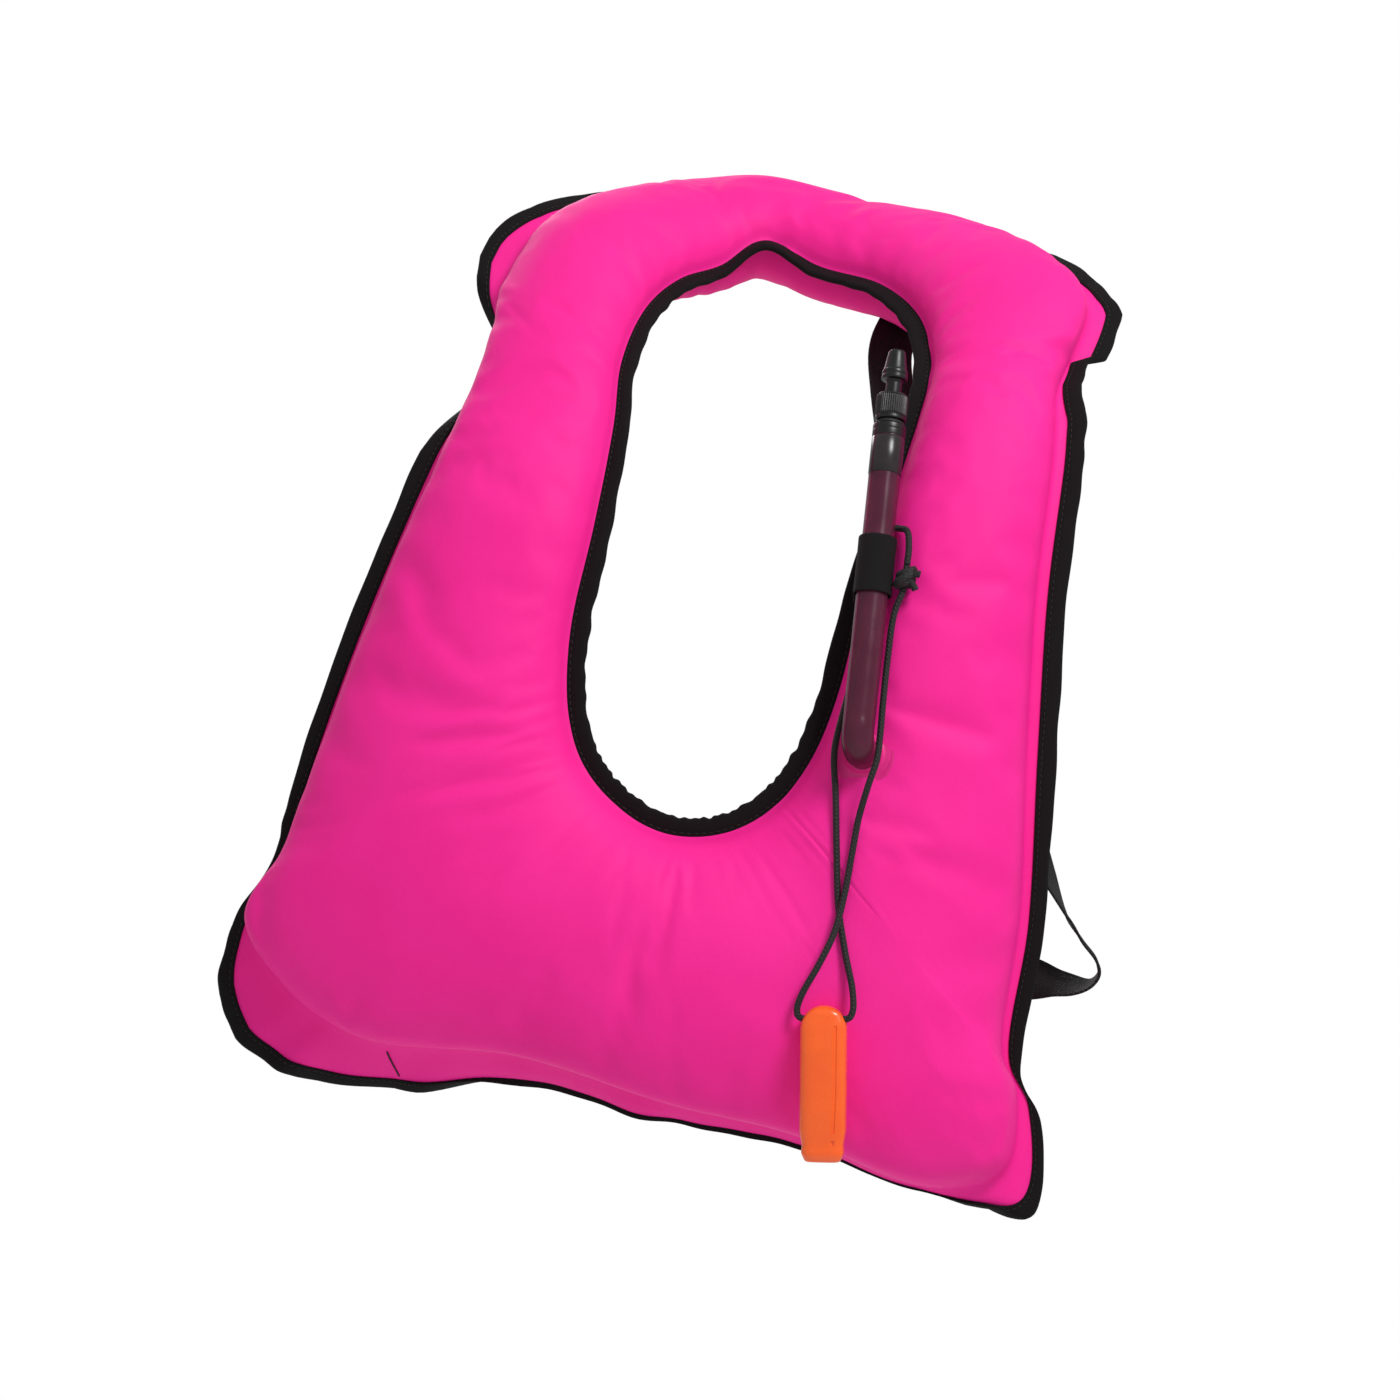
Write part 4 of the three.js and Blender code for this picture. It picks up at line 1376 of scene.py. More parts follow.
PORT, PORT_NORMAL = port_place()
CORNER = PORT + PORT_NORMAL * PORT_REACH
KEEPER_AT = np.array([82.0, -13.5, 83.0])
TUBE_WAY = unit(KEEPER_AT - CORNER)
TUBE_TOP = 173.0


def basis(point: Points, first: Points, third: Points) -> Matrix:
    """Matrix from millimetres on local axes to the row frame.

    Args:
        point: Origin on the pattern, in millimetres.
        first: Way of the local X axis, squared up to the third.
        third: Way of the local Z axis.

    Returns:
        The matrix.
    """
    z = unit(third)
    x = unit(np.asarray(first, float) - z * np.dot(first, z))
    y = np.cross(z, x)
    made = Matrix.Identity(4)
    for row in range(3):
        for column, axis in enumerate((x, y, z)):
            made[row][column] = float(axis[row]) * MM
        made[row][3] = float(to_row(point)[row])
    return made


def on_tube(distance: float) -> Points:
    """Point of the tube's axis at a distance from its corner, in pattern millimetres."""
    return CORNER + TUBE_WAY * distance


def tube_place(distance: float) -> Matrix:
    """Matrix that stands a turned piece on the tube's axis."""
    return basis(on_tube(distance), np.array([1.0, 0.0, 0.0]), TUBE_WAY)


@dataclass
class PortPatch:
    """Flexible round patch welded to the front, where the tube leaves the bladder."""

    radius: float = 17.0
    lift: float = 1.0

    def build(self) -> bpy.types.Object:
        """Patch with embossed rings and a short collar round the tube."""
        profile = [(4.5, -8.0), (6.5, -8.0), (6.5, -0.6), (15.0, -0.6), (17.0, 0.2), (16.9, 0.6)]
        profile += [(16.0, 0.95), (14.6, 1.1), (14.2, 0.95), (13.8, 1.15), (11.2, 1.5)]
        profile += [(10.3, 2.2), (9.6, 4.2), (9.1, 4.7), (8.0, 4.6), (7.2, 1.2), (4.5, 0.6)]
        obj = turned_mesh("port_patch", rounded(profile, 0.3), 96, basis(PORT, [1, 0, 0], PORT_NORMAL))
        dress(obj, PORT_URETHANE.build())
        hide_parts("port_flange")
        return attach(obj, "vest")


@dataclass
class InflationTube:
    """Smoke-tinted flexible tube from the port up to the valve, bent over at its foot."""

    radius: float = TUBE_RADIUS
    bore: float = TUBE_BORE
    sides: int = 64

    def path(self) -> Points:
        """Centre line from the port to the end of the tube, in pattern millimetres."""
        foot = [
            PORT + PORT_NORMAL * 2.8,
            PORT + PORT_NORMAL * 10,
            CORNER - PORT_NORMAL * 3 + TUBE_WAY * 3,
            on_tube(9),
        ]
        stem = [on_tube(t) for t in np.linspace(16, TUBE_TOP - 0.3, 30)]
        return spline(np.array(foot + stem), 6)

    def build(self) -> bpy.types.Object:
        """Hollow tube from the vest to its upper end, bent over at its foot."""
        path = to_row(self.path())
        first, second = sweep_frames(path)
        turn = np.arange(self.sides) * 2 * math.pi / self.sides
        along = lengths_along(path)
        # the wall flares a little over the collar and over the barrel of the valve
        swell = 0.25 * np.exp(-((along[-1] - along - 0.012) / 0.009) ** 2)
        ring = (
            np.cos(turn)[None, :, None] * first[:, None]
            + np.sin(turn)[None, :, None] * second[:, None]
        )
        outer = path[:, None] + ring * ((self.radius + swell) * MM)[:, None, None]
        inner = path[:, None] + ring * (self.bore * MM)
        loops = [outer[i] for i in range(len(path))] + [inner[i] for i in reversed(range(len(path)))]
        points = np.vstack(loops)
        weave = np.zeros((len(points), 2))
        obj = make_object(
            "inflation_tube", points, grid_faces(len(loops), self.sides, True, True), weave
        )
        outward(obj)
        dress(obj, SMOKE_VINYL.build())
        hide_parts("tube_elbow", "tube_lower", "tube_flex", "tube_upper")
        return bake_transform(obj)


@dataclass
class OralValve:
    """Grey barrel, seal, knurled lock ring and black mouthpiece at the top of the tube."""

    ridges: int = 44

    def lock_ring(self) -> bpy.types.Object:
        """Knurled ring with a plain band at its foot."""
        profile = [
            (5.8, 5.7), (7.9, 5.7), (8.35, 6.1), (8.35, 7.4), (8.0, 7.7), (8.0, 8.1),
            (8.55, 8.5), (8.6, 9.2), (8.6, 18.4), (8.3, 19.3), (7.6, 20.2), (6.9, 20.5), (5.8, 20.5),
        ]
        sides = self.ridges * 6
        obj = turned_mesh("knurled_lock_ring", rounded(profile, 0.2), sides, Matrix.Identity(4))
        for vertex in obj.data.vertices:
            x, y, z = vertex.co
            r = math.hypot(x, y)
            if r > 8.05 and 8.3 < z < 19.4:
                groove = 0.5 - 0.5 * math.cos(math.atan2(y, x) * self.ridges)
                scale = (r - 0.55 * groove**2) / r
                vertex.co = (x * scale, y * scale, z)
        obj.data.transform(tube_place(TUBE_TOP))
        obj.data.update()
        dress(obj, BLACK_ACETAL.build())
        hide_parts("lock_ring")
        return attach(obj, "ring")

    def mouthpiece(self) -> bpy.types.Object:
        """Stem, bite rim and tapered bore that the wearer blows through."""
        profile = [
            (0.0, -24.3), (2.4, -24.3), (2.4, -23.3), (1.5, -23.3), (1.5, 12.0), (4.2, 12.0),
            (4.2, 27.0), (4.9, 28.3), (6.9, 28.7), (7.0, 30.4), (6.6, 31.2), (6.9, 32.0),
            (6.9, 33.4), (6.3, 34.2), (5.9, 36.2), (5.5, 38.4), (4.9, 42.5), (4.6, 44.2),
            (4.2, 45.0), (3.0, 45.0), (2.6, 44.3), (2.2, 16.0), (0.0, 15.0),
        ]
        obj = turned_mesh("bite_mouthpiece", rounded(profile, 0.35), 72, tube_place(TUBE_TOP))
        dress(obj, BLACK_ACETAL.build())
        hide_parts("mouthpiece")
        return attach(obj, "mouth")

    def barrel(self) -> bpy.types.Object:
        """Barrel pushed into the tube, with three barbs and a flange on the tube's end."""
        barb = ((6.7, 0.0), (6.95, 4.0), (6.6, 4.6))
        barbs = [(radius, foot + z) for foot in (-18.0, -12.0, -6.0) for radius, z in barb]
        profile = [(4.5, -20.0), (6.3, -20.0), *barbs, (6.7, 0.3), (8.3, 0.3), (8.3, 2.8)]
        profile += [(5.4, 2.8), (5.4, 21.0), (4.5, 21.0)]
        obj = turned_mesh("barbed_barrel", rounded(profile, 0.2), 64, tube_place(TUBE_TOP))
        dress(obj, GREY_ABS.build())
        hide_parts("valve_barrel")
        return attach(obj, "tube_end")

    def trim(self) -> bpy.types.Object:
        """Black cap ring pressed over the flange and the end of the tube."""
        profile = [(8.45, -3.6), (8.75, -3.4), (8.8, -0.4), (8.55, 0.1), (8.8, 0.5), (8.75, 2.7),
                   (8.5, 3.0), (5.7, 3.0), (5.7, 2.75), (8.35, 2.75), (8.35, -0.2), (8.45, -0.3)]
        obj = turned_mesh("flange_cap", rounded(profile, 0.12), 64, tube_place(TUBE_TOP))
        dress(obj, BLACK_ACETAL.build())
        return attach(obj, "tube_end")

    def sleeve(self) -> bpy.types.Object:
        """Dark smoke sleeve that grips the tube over the barrel."""
        profile = [(8.5, -24.5), (8.72, -24.2), (8.76, -14.0), (8.7, -4.2), (8.5, -3.9)]
        obj = turned_mesh("grip_sleeve", profile, 64, tube_place(TUBE_TOP))
        dress(obj, SMOKE_SLEEVE.build())
        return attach(obj, "tube_end")

    def spring(self) -> bpy.types.Object:
        """Coil spring between the barrel and the stem's collar, which closes up when pressed."""
        turns = np.linspace(0, 16 * math.pi, 385)
        heights = np.linspace(4.8, 11.2, 385)
        coil = np.stack([2.9 * np.cos(turns), 2.9 * np.sin(turns), heights], 1)
        obj = tube_mesh("coil_spring", coil, 0.4, 10)
        obj.data.transform(tube_place(TUBE_TOP))
        dress(obj, SPRING_STEEL.build())
        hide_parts("valve_spring")
        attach(obj, "tube_end")
        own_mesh(obj)
        return obj

    def seal(self) -> bpy.types.Object:
        """Round rubber ring between the flange and the lock ring."""
        section = [
            (6.75 + 0.98 * math.cos(a), 4.1 + 0.98 * math.sin(a))
            for a in np.linspace(0, 2 * math.pi, 17)[:-1]
        ]
        obj = turned_mesh("valve_seal", section, 64, tube_place(TUBE_TOP))
        dress(obj, SEAL_RUBBER.build())
        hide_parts("valve_o_ring")
        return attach(obj, "tube_end")

    def build(self, nodes: dict) -> None:
        """Every piece of the valve; the disc stays as it is."""
        self.barrel()
        self.trim()
        self.sleeve()
        self.spring()
        self.seal()
        self.lock_ring()
        self.mouthpiece()
        dress(nodes["valve_disc"], SEAL_RUBBER.build())
        disc = nodes["valve_disc"].data
        disc.polygons.foreach_set("use_smooth", [True] * len(disc.polygons))


@dataclass
class TubeKeeper:
    """Strip of ribbed elastic sewn to the neck binding, with the tube through its loop."""

    inner: float = 9.05
    wall: float = 1.2
    height: float = 31.0
    tail: float = 19.0

    def build(self) -> bpy.types.Object:
        """Loop and tail as one band of even thickness."""
        low = -self.height / 2
        centre_r = self.inner + self.wall / 2
        start = [(-centre_r, self.tail), (-centre_r, self.tail * 0.6), (-centre_r, self.tail * 0.25)]
        loop = [
            (-centre_r * math.cos(a), -centre_r * math.sin(a))
            for a in np.linspace(0, 2 * math.pi, 60)
        ]
        flat = np.array(start + loop)
        heights = np.array([0.0, 0.35, 1.2, *np.linspace(2.4, self.height - 2.4, 12),
                            self.height - 1.2, self.height - 0.35, self.height]) + low
        thick = np.array([0.5, 0.85, 1.0] + [1.0] * 12 + [1.0, 0.85, 0.5]) * self.wall / 2
        waist = -0.18 * np.sin(np.linspace(0, math.pi, len(heights)))
        way = unit(np.gradient(flat, axis=0))
        side = np.stack([way[:, 1], -way[:, 0]], 1)
        rows = []
        for p, n in zip(flat, side):
            outer = [(*(p + n * (t + w)), z) for t, w, z in zip(thick, waist, heights)]
            inner = [(*(p - n * (t - w)), z) for t, w, z in zip(thick, waist, heights)]
            rows.append(outer + inner[::-1])
        points = np.array(rows)
        along = lengths_along(flat)
        section = lengths_along(points[0])
        weave = np.stack(np.broadcast_arrays(section[None, :], along[:, None]), -1) * MM
        count = points.shape[1]
        faces = grid_faces(len(flat), count, False, True)
        faces.append(tuple(range(count)))
        faces.append(tuple(range((len(flat) - 1) * count, len(flat) * count))[::-1])
        obj = make_object("elastic_keeper", points.reshape(-1, 3), faces, weave.reshape(-1, 2))
        distance = float(np.linalg.norm(KEEPER_AT - CORNER))
        obj.data.transform(tube_place(distance))
        outward(obj)
        dress(obj, ELASTIC.build())
        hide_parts("tube_keeper")
        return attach(obj, "vest")


# ------------------------------------------------------------------ lanyard and whistle
@dataclass
class Lanyard:
    """Black cord tied at the keeper, down to the whistle and back up behind the tube."""

    diameter: float = 3.5
    knot_at: tuple = (98.5, -17.0, 79.0)
    route: tuple = (
        (98.5, -18, 71.8), (96, -19, 60), (96.5, -22, 35), (98, -27.5, 12), (99.3, -32, -4),
        (99.8, -35.5, -16), (97.5, -36, -30), (95, -31.5, -48), (94.5, -31, -65),
        (94, -33.5, -88), (92, -37.5, -108), (87, -41, -125), (81, -42, -141),
        (79.6, -42, -149), (80.8, -42, -152.6), (84, -42, -153.5), (94, -42, -152),
        (104, -42, -150.5), (107, -42, -149), (108, -41.5, -145), (106, -39, -135),
        (99.5, -35, -118), (92, -31.6, -95), (86, -28.2, -65), (81, -23.8, -38),
        (76.6, -21, -16), (77.6, -18, 4), (80.5, -10.5, 28), (84, -6.8, 52), (83, -4.4, 62),
        (82, -1.8, 70), (81, 0.8, 76), (80, 3.5, 85), (80.5, 7, 97), (86.3, 2.2, 105),
        (91, -3.6, 105.2), (95.5, -9.5, 104.2), (98, -14.5, 95), (98.5, -16.5, 86.2),
    )

    def cord(self) -> tuple[bpy.types.Object, Points]:
        """The cord and the points that it follows."""
        path = to_row(spline(np.array(self.route), 10))
        obj = tube_mesh("braided_lanyard", path, self.diameter / 2 * MM, 16)
        dress(obj, CORD_BRAID.build())
        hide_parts("lanyard_cord")
        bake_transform(obj)
        return obj, path

    def knot(self) -> bpy.types.Object:
        """Two wraps drawn tight over the cord, with two short tails."""
        x, y, z = self.knot_at
        turns = np.linspace(0, 3 * 2 * math.pi, 73)
        coil = np.stack(
            [
                x + 0.5 + 3.3 * np.cos(turns),
                y - 0.5 + 3.1 * np.sin(turns),
                z + (turns / turns[-1] - 0.5) * 7.4 + 1.3 * np.cos(turns),
            ],
            1,
        )
        cross = np.array(
            [[x - 3.6, y - 0.6, z - 3.8], [x - 2.6, y - 4.2, z - 2.2], [x + 0.4, y - 5.2, z + 0.4],
             [x + 3.0, y - 3.6, z + 2.6], [x + 3.8, y + 0.2, z + 4.2]]
        )
        tails = [
            [[100, -19, 80], [102.5, -20.5, 81.2], [104.6, -21.2, 82.2], [106.2, -21, 82]],
            [[100, -19, 78], [102.3, -20, 77], [104, -20.5, 75.4], [105, -20.2, 73.8]],
        ]
        first, last = np.array(self.route[0]), np.array(self.route[-1])
        core = np.array([first + [0, 0.1, 0.25], [x, y, z - 3], [x, y, z + 3], last - [0, 0.1, 0.25]])
        strands = [(coil, 2.3), (spline(cross, 6), 2.3), (spline(core, 8), self.diameter / 2)]
        strands += [(spline(np.array(t), 6), 1.9) for t in tails]
        parts = [
            tube_mesh(f"strand_{k}", to_row(points), radius * MM, 14)
            for k, (points, radius) in enumerate(strands)
        ]
        obj = join_meshes("tied_knot", parts)
        dress(obj, CORD_BRAID.build())
        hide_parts("lanyard_knot")
        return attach(obj, "vest")

    def build(self) -> None:
        """Cord, knot and whistle."""
        cord, path = self.cord()
        knot = self.knot()
        Whistle().build()


@dataclass
class Whistle:
    """Flat orange whistle with an eyelet, a blowing slot, side windows and a moulding line."""

    top: tuple = (93.0, -42.0, -145.0)
    lean: float = 0.148
    length: float = 80.0
    width: float = 24.0
    depth: float = 17.0
    eyelet: float = 2.5

    def half_width(self, z: Points) -> Points:
        """Half of the width at each distance below the top."""
        half = self.width / 2
        dome = half * np.sqrt(np.clip(1 - ((half - z) / half) ** 2, 0, 1))
        body = np.where(z < half, dome, half)
        taper = np.clip((z - (self.length - 16)) / 14, 0, 1)
        end = np.clip((z - (self.length - 2)) / 2, 0, 1)
        lip = 1.0 * np.exp(-(((z - (self.length - 4.5)) / 2.4) ** 2))
        return body - 2.4 * taper + lip - 1.6 * (1 - np.sqrt(1 - end**2))

    def half_depth(self, z: Points) -> Points:
        """Half of the thickness at each distance below the top."""
        half = self.depth / 2
        crown = 6.2 + (half - 6.2) * np.clip((z - 6) / 16, 0, 1) ** 0.7
        nose = np.clip(1 - z / 5.0, 0, 1)
        end = np.clip((z - (self.length - 2)) / 2, 0, 1)
        taper = np.clip((z - (self.length - 26)) / 26, 0, 1)
        lip = 0.9 * np.exp(-(((z - (self.length - 4.5)) / 2.4) ** 2))
        return crown * np.sqrt(1 - nose**2) - 2.2 * taper + lip - 1.6 * (1 - np.sqrt(1 - end**2))

    def body(self) -> bpy.types.Object:
        """Rounded body before it is cut."""
        z = np.concatenate([
            (1 - np.cos(np.linspace(0.12, math.pi / 2, 12))) * 12,
            np.linspace(13.5, self.length - 3, 34),
            self.length - 2 + 1.98 * np.sin(np.linspace(0, math.pi / 2, 6)),
        ])
        turn = np.linspace(0, 2 * math.pi, 65)[:-1]
        power = 0.55
        c = np.sign(np.cos(turn)) * np.abs(np.cos(turn)) ** power
        s = np.sign(np.sin(turn)) * np.abs(np.sin(turn)) ** power
        rings = np.stack([
            self.half_width(z)[:, None] * c[None],
            self.half_depth(z)[:, None] * s[None],
            np.broadcast_to(-z[:, None], (len(z), 64)),
        ], -1)
        count = len(z) * 64
        points = np.vstack([rings.reshape(-1, 3), [[0, 0, -z[0] + 0.02], [0, 0, -z[-1]]]])
        faces = grid_faces(len(z), 64, False, True)
        for k in range(64):
            faces.append((count, (k + 1) % 64, k))
            faces.append((count + 1, count - 64 + k, count - 64 + (k + 1) % 64))
        return outward(make_object("signal_whistle", points, faces))

    def cutter(self, low: tuple, high: tuple, round_off: float = 0.0) -> bpy.types.Object:
        """Box in the whistle's own millimetres, with rounded edges if asked."""
        bm = bmesh.new()
        bmesh.ops.create_cube(bm, size=1.0)
        for vertex in bm.verts:
            for axis in range(3):
                vertex.co[axis] = low[axis] + (vertex.co[axis] + 0.5) * (high[axis] - low[axis])
        if round_off > 0:
            bmesh.ops.bevel(bm, geom=bm.edges, offset=round_off, segments=3, affect="EDGES")
        mesh = bpy.data.meshes.new("cutter")
        bm.to_mesh(mesh)
        bm.free()
        obj = bpy.data.objects.new("cutter", mesh)
        bpy.context.collection.objects.link(obj)
        return obj

    def grooves(self) -> list:
        """Tools that cut the parting groove along each broad face and a dimple at its foot."""
        tools = []
        for side in (-1, 1):
            z = np.linspace(10, self.length - 15, 40)
            x = np.full_like(z, 6.4) - 0.9 * np.clip((z - 46) / 20, 0, 1)
            y = side * (self.half_depth(z) + 0.15)
            path = np.stack([x, y, -z], 1)
            tools.append(tube_mesh("cutter", path, 0.95, 10))
            foot = path[-1]
            low = (foot[0] - 1.6, foot[1] - 1.4, foot[2] - 7.0)
            high = (foot[0] + 1.6, foot[1] + 1.4, foot[2] - 3.0)
            tools.append(self.cutter(low, high, 0.9))
        return tools

    def build(self) -> bpy.types.Object:
        """The finished whistle, riding on its own body."""
        obj = self.body()
        hole = turned_mesh(
            "cutter",
            [(0.0, -20.0), (3.9, -20.0), (2.9, -6.6), (2.5, -5.2), (2.5, 5.2), (2.9, 6.6), (3.9, 20.0),
             (0.0, 20.0)],
            32,
            Matrix.Translation((0, 0, -7)) @ Matrix.Rotation(math.pi / 2, 4, "Y"),
        )
        half = self.width / 2
        tools = [
            hole,
            self.cutter((-half + 5, -2.5, -self.length - 1), (half - 5, 2.5, -self.length + 50)),
            self.cutter((6, -2.4, -self.length + 34), (20, 2.4, -self.length + 42), 0.6),
            self.cutter((-20, -2.4, -self.length + 34), (-6, 2.4, -self.length + 42), 0.6),
            *self.grooves(),
        ]
        for tool in tools:
            cut = obj.modifiers.new("cut", "BOOLEAN")
            cut.operation = "DIFFERENCE"
            cut.solver = "EXACT"
            cut.object = tool
        apply_modifiers(obj)
        for tool in tools:
            bpy.data.objects.remove(tool)
        smooth_by_angle(obj, 38)
        place = basis(
            np.array(self.top),
            [math.cos(self.lean), 0, math.sin(self.lean)],
            [-math.sin(self.lean), 0, math.cos(self.lean)],
        )
        obj.data.transform(place)
        dress(obj, WHISTLE_PLASTIC.build())
        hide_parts("whistle")
        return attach(obj, "whistle_body")


def smooth_by_angle(obj: bpy.types.Object, degrees: float) -> None:
    """Shades the object smooth except across edges sharper than an angle."""
    mesh = obj.data
    mesh.polygons.foreach_set("use_smooth", [True] * len(mesh.polygons))
    bm = bmesh.new()
    bm.from_mesh(mesh)
    limit = math.radians(degrees)
    for edge in bm.edges:
        sharp = len(edge.link_faces) != 2 or edge.calc_face_angle(0.0) > limit
        edge.smooth = not sharp
    bm.to_mesh(mesh)
    bm.free()
    mesh.update()


# ------------------------------------------------------------------ webbing and hardware
@dataclass
class Strap:
    """Length of 25 mm webbing along rows of centre and way of its width, in pattern millimetres."""

    name: str
    rows: tuple
    width: float = 25.0
    thickness: float = 1.6
    per_span: int = 6

    def mesh(self, low: int = 0, high: int | None = None) -> bpy.types.Object:
        """Webbing between two rows, with rounded thicker selvedges.

        Args:
            low: First row.
            high: Row after the last, or None for all.

        Returns:
            The webbing as an object.
        """
        centres = spline(np.array([r[0] for r in self.rows], float), self.per_span)
        wide = spline(np.array([r[1] for r in self.rows], float), self.per_span)
        along = lengths_along(centres)
        tangent = unit(np.gradient(centres, axis=0))
        wide = unit(wide - tangent * (wide * tangent).sum(1)[:, None])
        flat = np.cross(tangent, wide)
        start = low * self.per_span
        end = (len(self.rows) - 1 if high is None else high) * self.per_span + 1
        half, t = self.width / 2, self.thickness / 2
        top = [(half, 0.25 * t), (half - 0.35, 0.85 * t), (half - 1.0, t), (half - 2.2, 0.98 * t)]
        top += [(half - 2.7, 0.82 * t), (half - 3.4, 0.9 * t), (4.0, 0.92 * t), (0.0, 0.92 * t)]
        upper = top + [(-x, y) for x, y in reversed(top[:-1])]
        section = np.array(upper + [(x, -y) for x, y in reversed(upper)])
        points = (
            centres[start:end, None]
            + wide[start:end, None] * section[None, :, 0, None]
            + flat[start:end, None] * section[None, :, 1, None]
        )
        count = len(section)
        size = end - start
        weave = np.stack(
            np.broadcast_arrays(section[None, :, 0], along[start:end, None]), -1
        ) * MM
        faces = grid_faces(size, count, False, True)
        faces.append(tuple(range(count)))
        faces.append(tuple(range((size - 1) * count, size * count))[::-1])
        obj = make_object(self.name, to_row(points.reshape(-1, 3)), faces, weave.reshape(-1, 2))
        outward(obj)
        dress(obj, WEBBING.build())
        return obj


BELT_PLANE = (62.0, -121.0)
PATCH_HALF = 15.0  # half the length of a patch along its strap
PATCH_MIDDLE = 1.2  # height of the middle of a CAD patch above the cover
STRAP_LIFT = 2.9  # height of the strap's middle above the cover under a patch
STRAP_WAY = (-1.0, 0.0, 1.0)  # rough way of the strap on every patch


class End(Enum):
    """Which end of a patch a row of the strap lies at, seen along the patch's way."""

    AHEAD = 1.0
    BEHIND = -1.0


def patch_place(name: str) -> tuple[Points, Points, Points]:
    """Where a sewn patch lies, from its box in the frame.

    Args:
        name: Name of the CAD node of the patch.

    Returns:
        Point of the cover under it, the way of its strap and the way out of the cover.
    """
    middle, axes = principal(cad_points(name))
    along, out = facing(axes[0], STRAP_WAY), facing(axes[2], BACK)
    return middle - out * PATCH_MIDDLE, along, out


def sewn_rows(name: str, *ends: End) -> tuple:
    """Rows of a strap where it runs under a patch, one for each end in the order given."""
    centre, along, out = patch_place(name)
    middle = centre + out * STRAP_LIFT
    wide = np.cross(out, along)
    return tuple((middle + along * (PATCH_HALF * end.value), wide) for end in ends)


NAPE_ROWS = sewn_rows("nape_patch", End.AHEAD, End.BEHIND)
DROP_ROWS = (
    ((63, 134, 212), (1, 0.2, 0.1)), ((69, 112, 188), (1, 0.2, 0.15)),
    ((77, 90, 163), (1, 0.2, 0.2)), ((86, 70, 135), (1, 0.2, 0.4)),
    ((94, 57, 108), (1, 0.1, 0.45)), ((104, 51, 85), (1, 0, 0.5)),
    ((116, 49, 62), (1, 0, 0.55)), ((128, 48.5, 40), (1, 0, 0.6)),
)
RIGHT_ROWS = sewn_rows("belt_patch_right", End.AHEAD, End.BEHIND)
LOOP_ROWS = (
    ((174, 50, -32), (0.9, 0.3, 0.5)), ((184, 50, -47), (0.6, 0.8, 0.4)),
    ((195, 49, -62), (0.3, 1, 0.2)), ((209, 48, -83), (0, 1, 0)), ((220, 49, -96), (0, 1, 0)),
    ((229, 50, -105), (0, 1, 0)), ((231.5, 50, -112), (0, 1, 0)),
    ((228, 51, -118), (0, 1, 0.1)), ((220, 52, -120.5), (0, 1, 0.35)),
    ((210, 54, -121), (0, 1, 0.6)), ((198, 56, -121), (0, 0.6, 1)),
)
BELT_RIGHT = (
    (184, -3), (150, -3), (110, -3), (80, -3), (71, -3), (69, -2.7), (66, 0), (63, 2.7),
    (61.5, 3), (58.5, 3), (57, 2.7), (54, 0), (51, -2.7), (49, -3), (40, -2.7), (20, 1.2),
    (8, 3.5), (1, 3.5), (-1.6, 2.4), (-2.8, 0), (-1.6, -2.4), (1, -3.5), (8, -3.5), (16, -1),
)
BELT_LEFT = (
    (-78, 1.2), (-68, -3.3), (-56, -3.5), (-54, -2.4), (-52.8, 0), (-54, 2.4), (-56, 3.5),
    (-68, 3.5), (-78, 3.5), (-110, 3.3), (-140, 4),
)
LEFT_ROWS = sewn_rows("belt_patch_left", End.BEHIND, End.AHEAD)
PATCHES = ("nape_patch", "belt_patch_right", "belt_patch_left")


def belt_rows(pairs: tuple) -> tuple:
    """Rows of a strap in the belt plane from pairs of x and distance behind the plane."""
    return tuple(((x, BELT_PLANE[0] + b, BELT_PLANE[1]), (0, 0, 1)) for x, b in pairs)


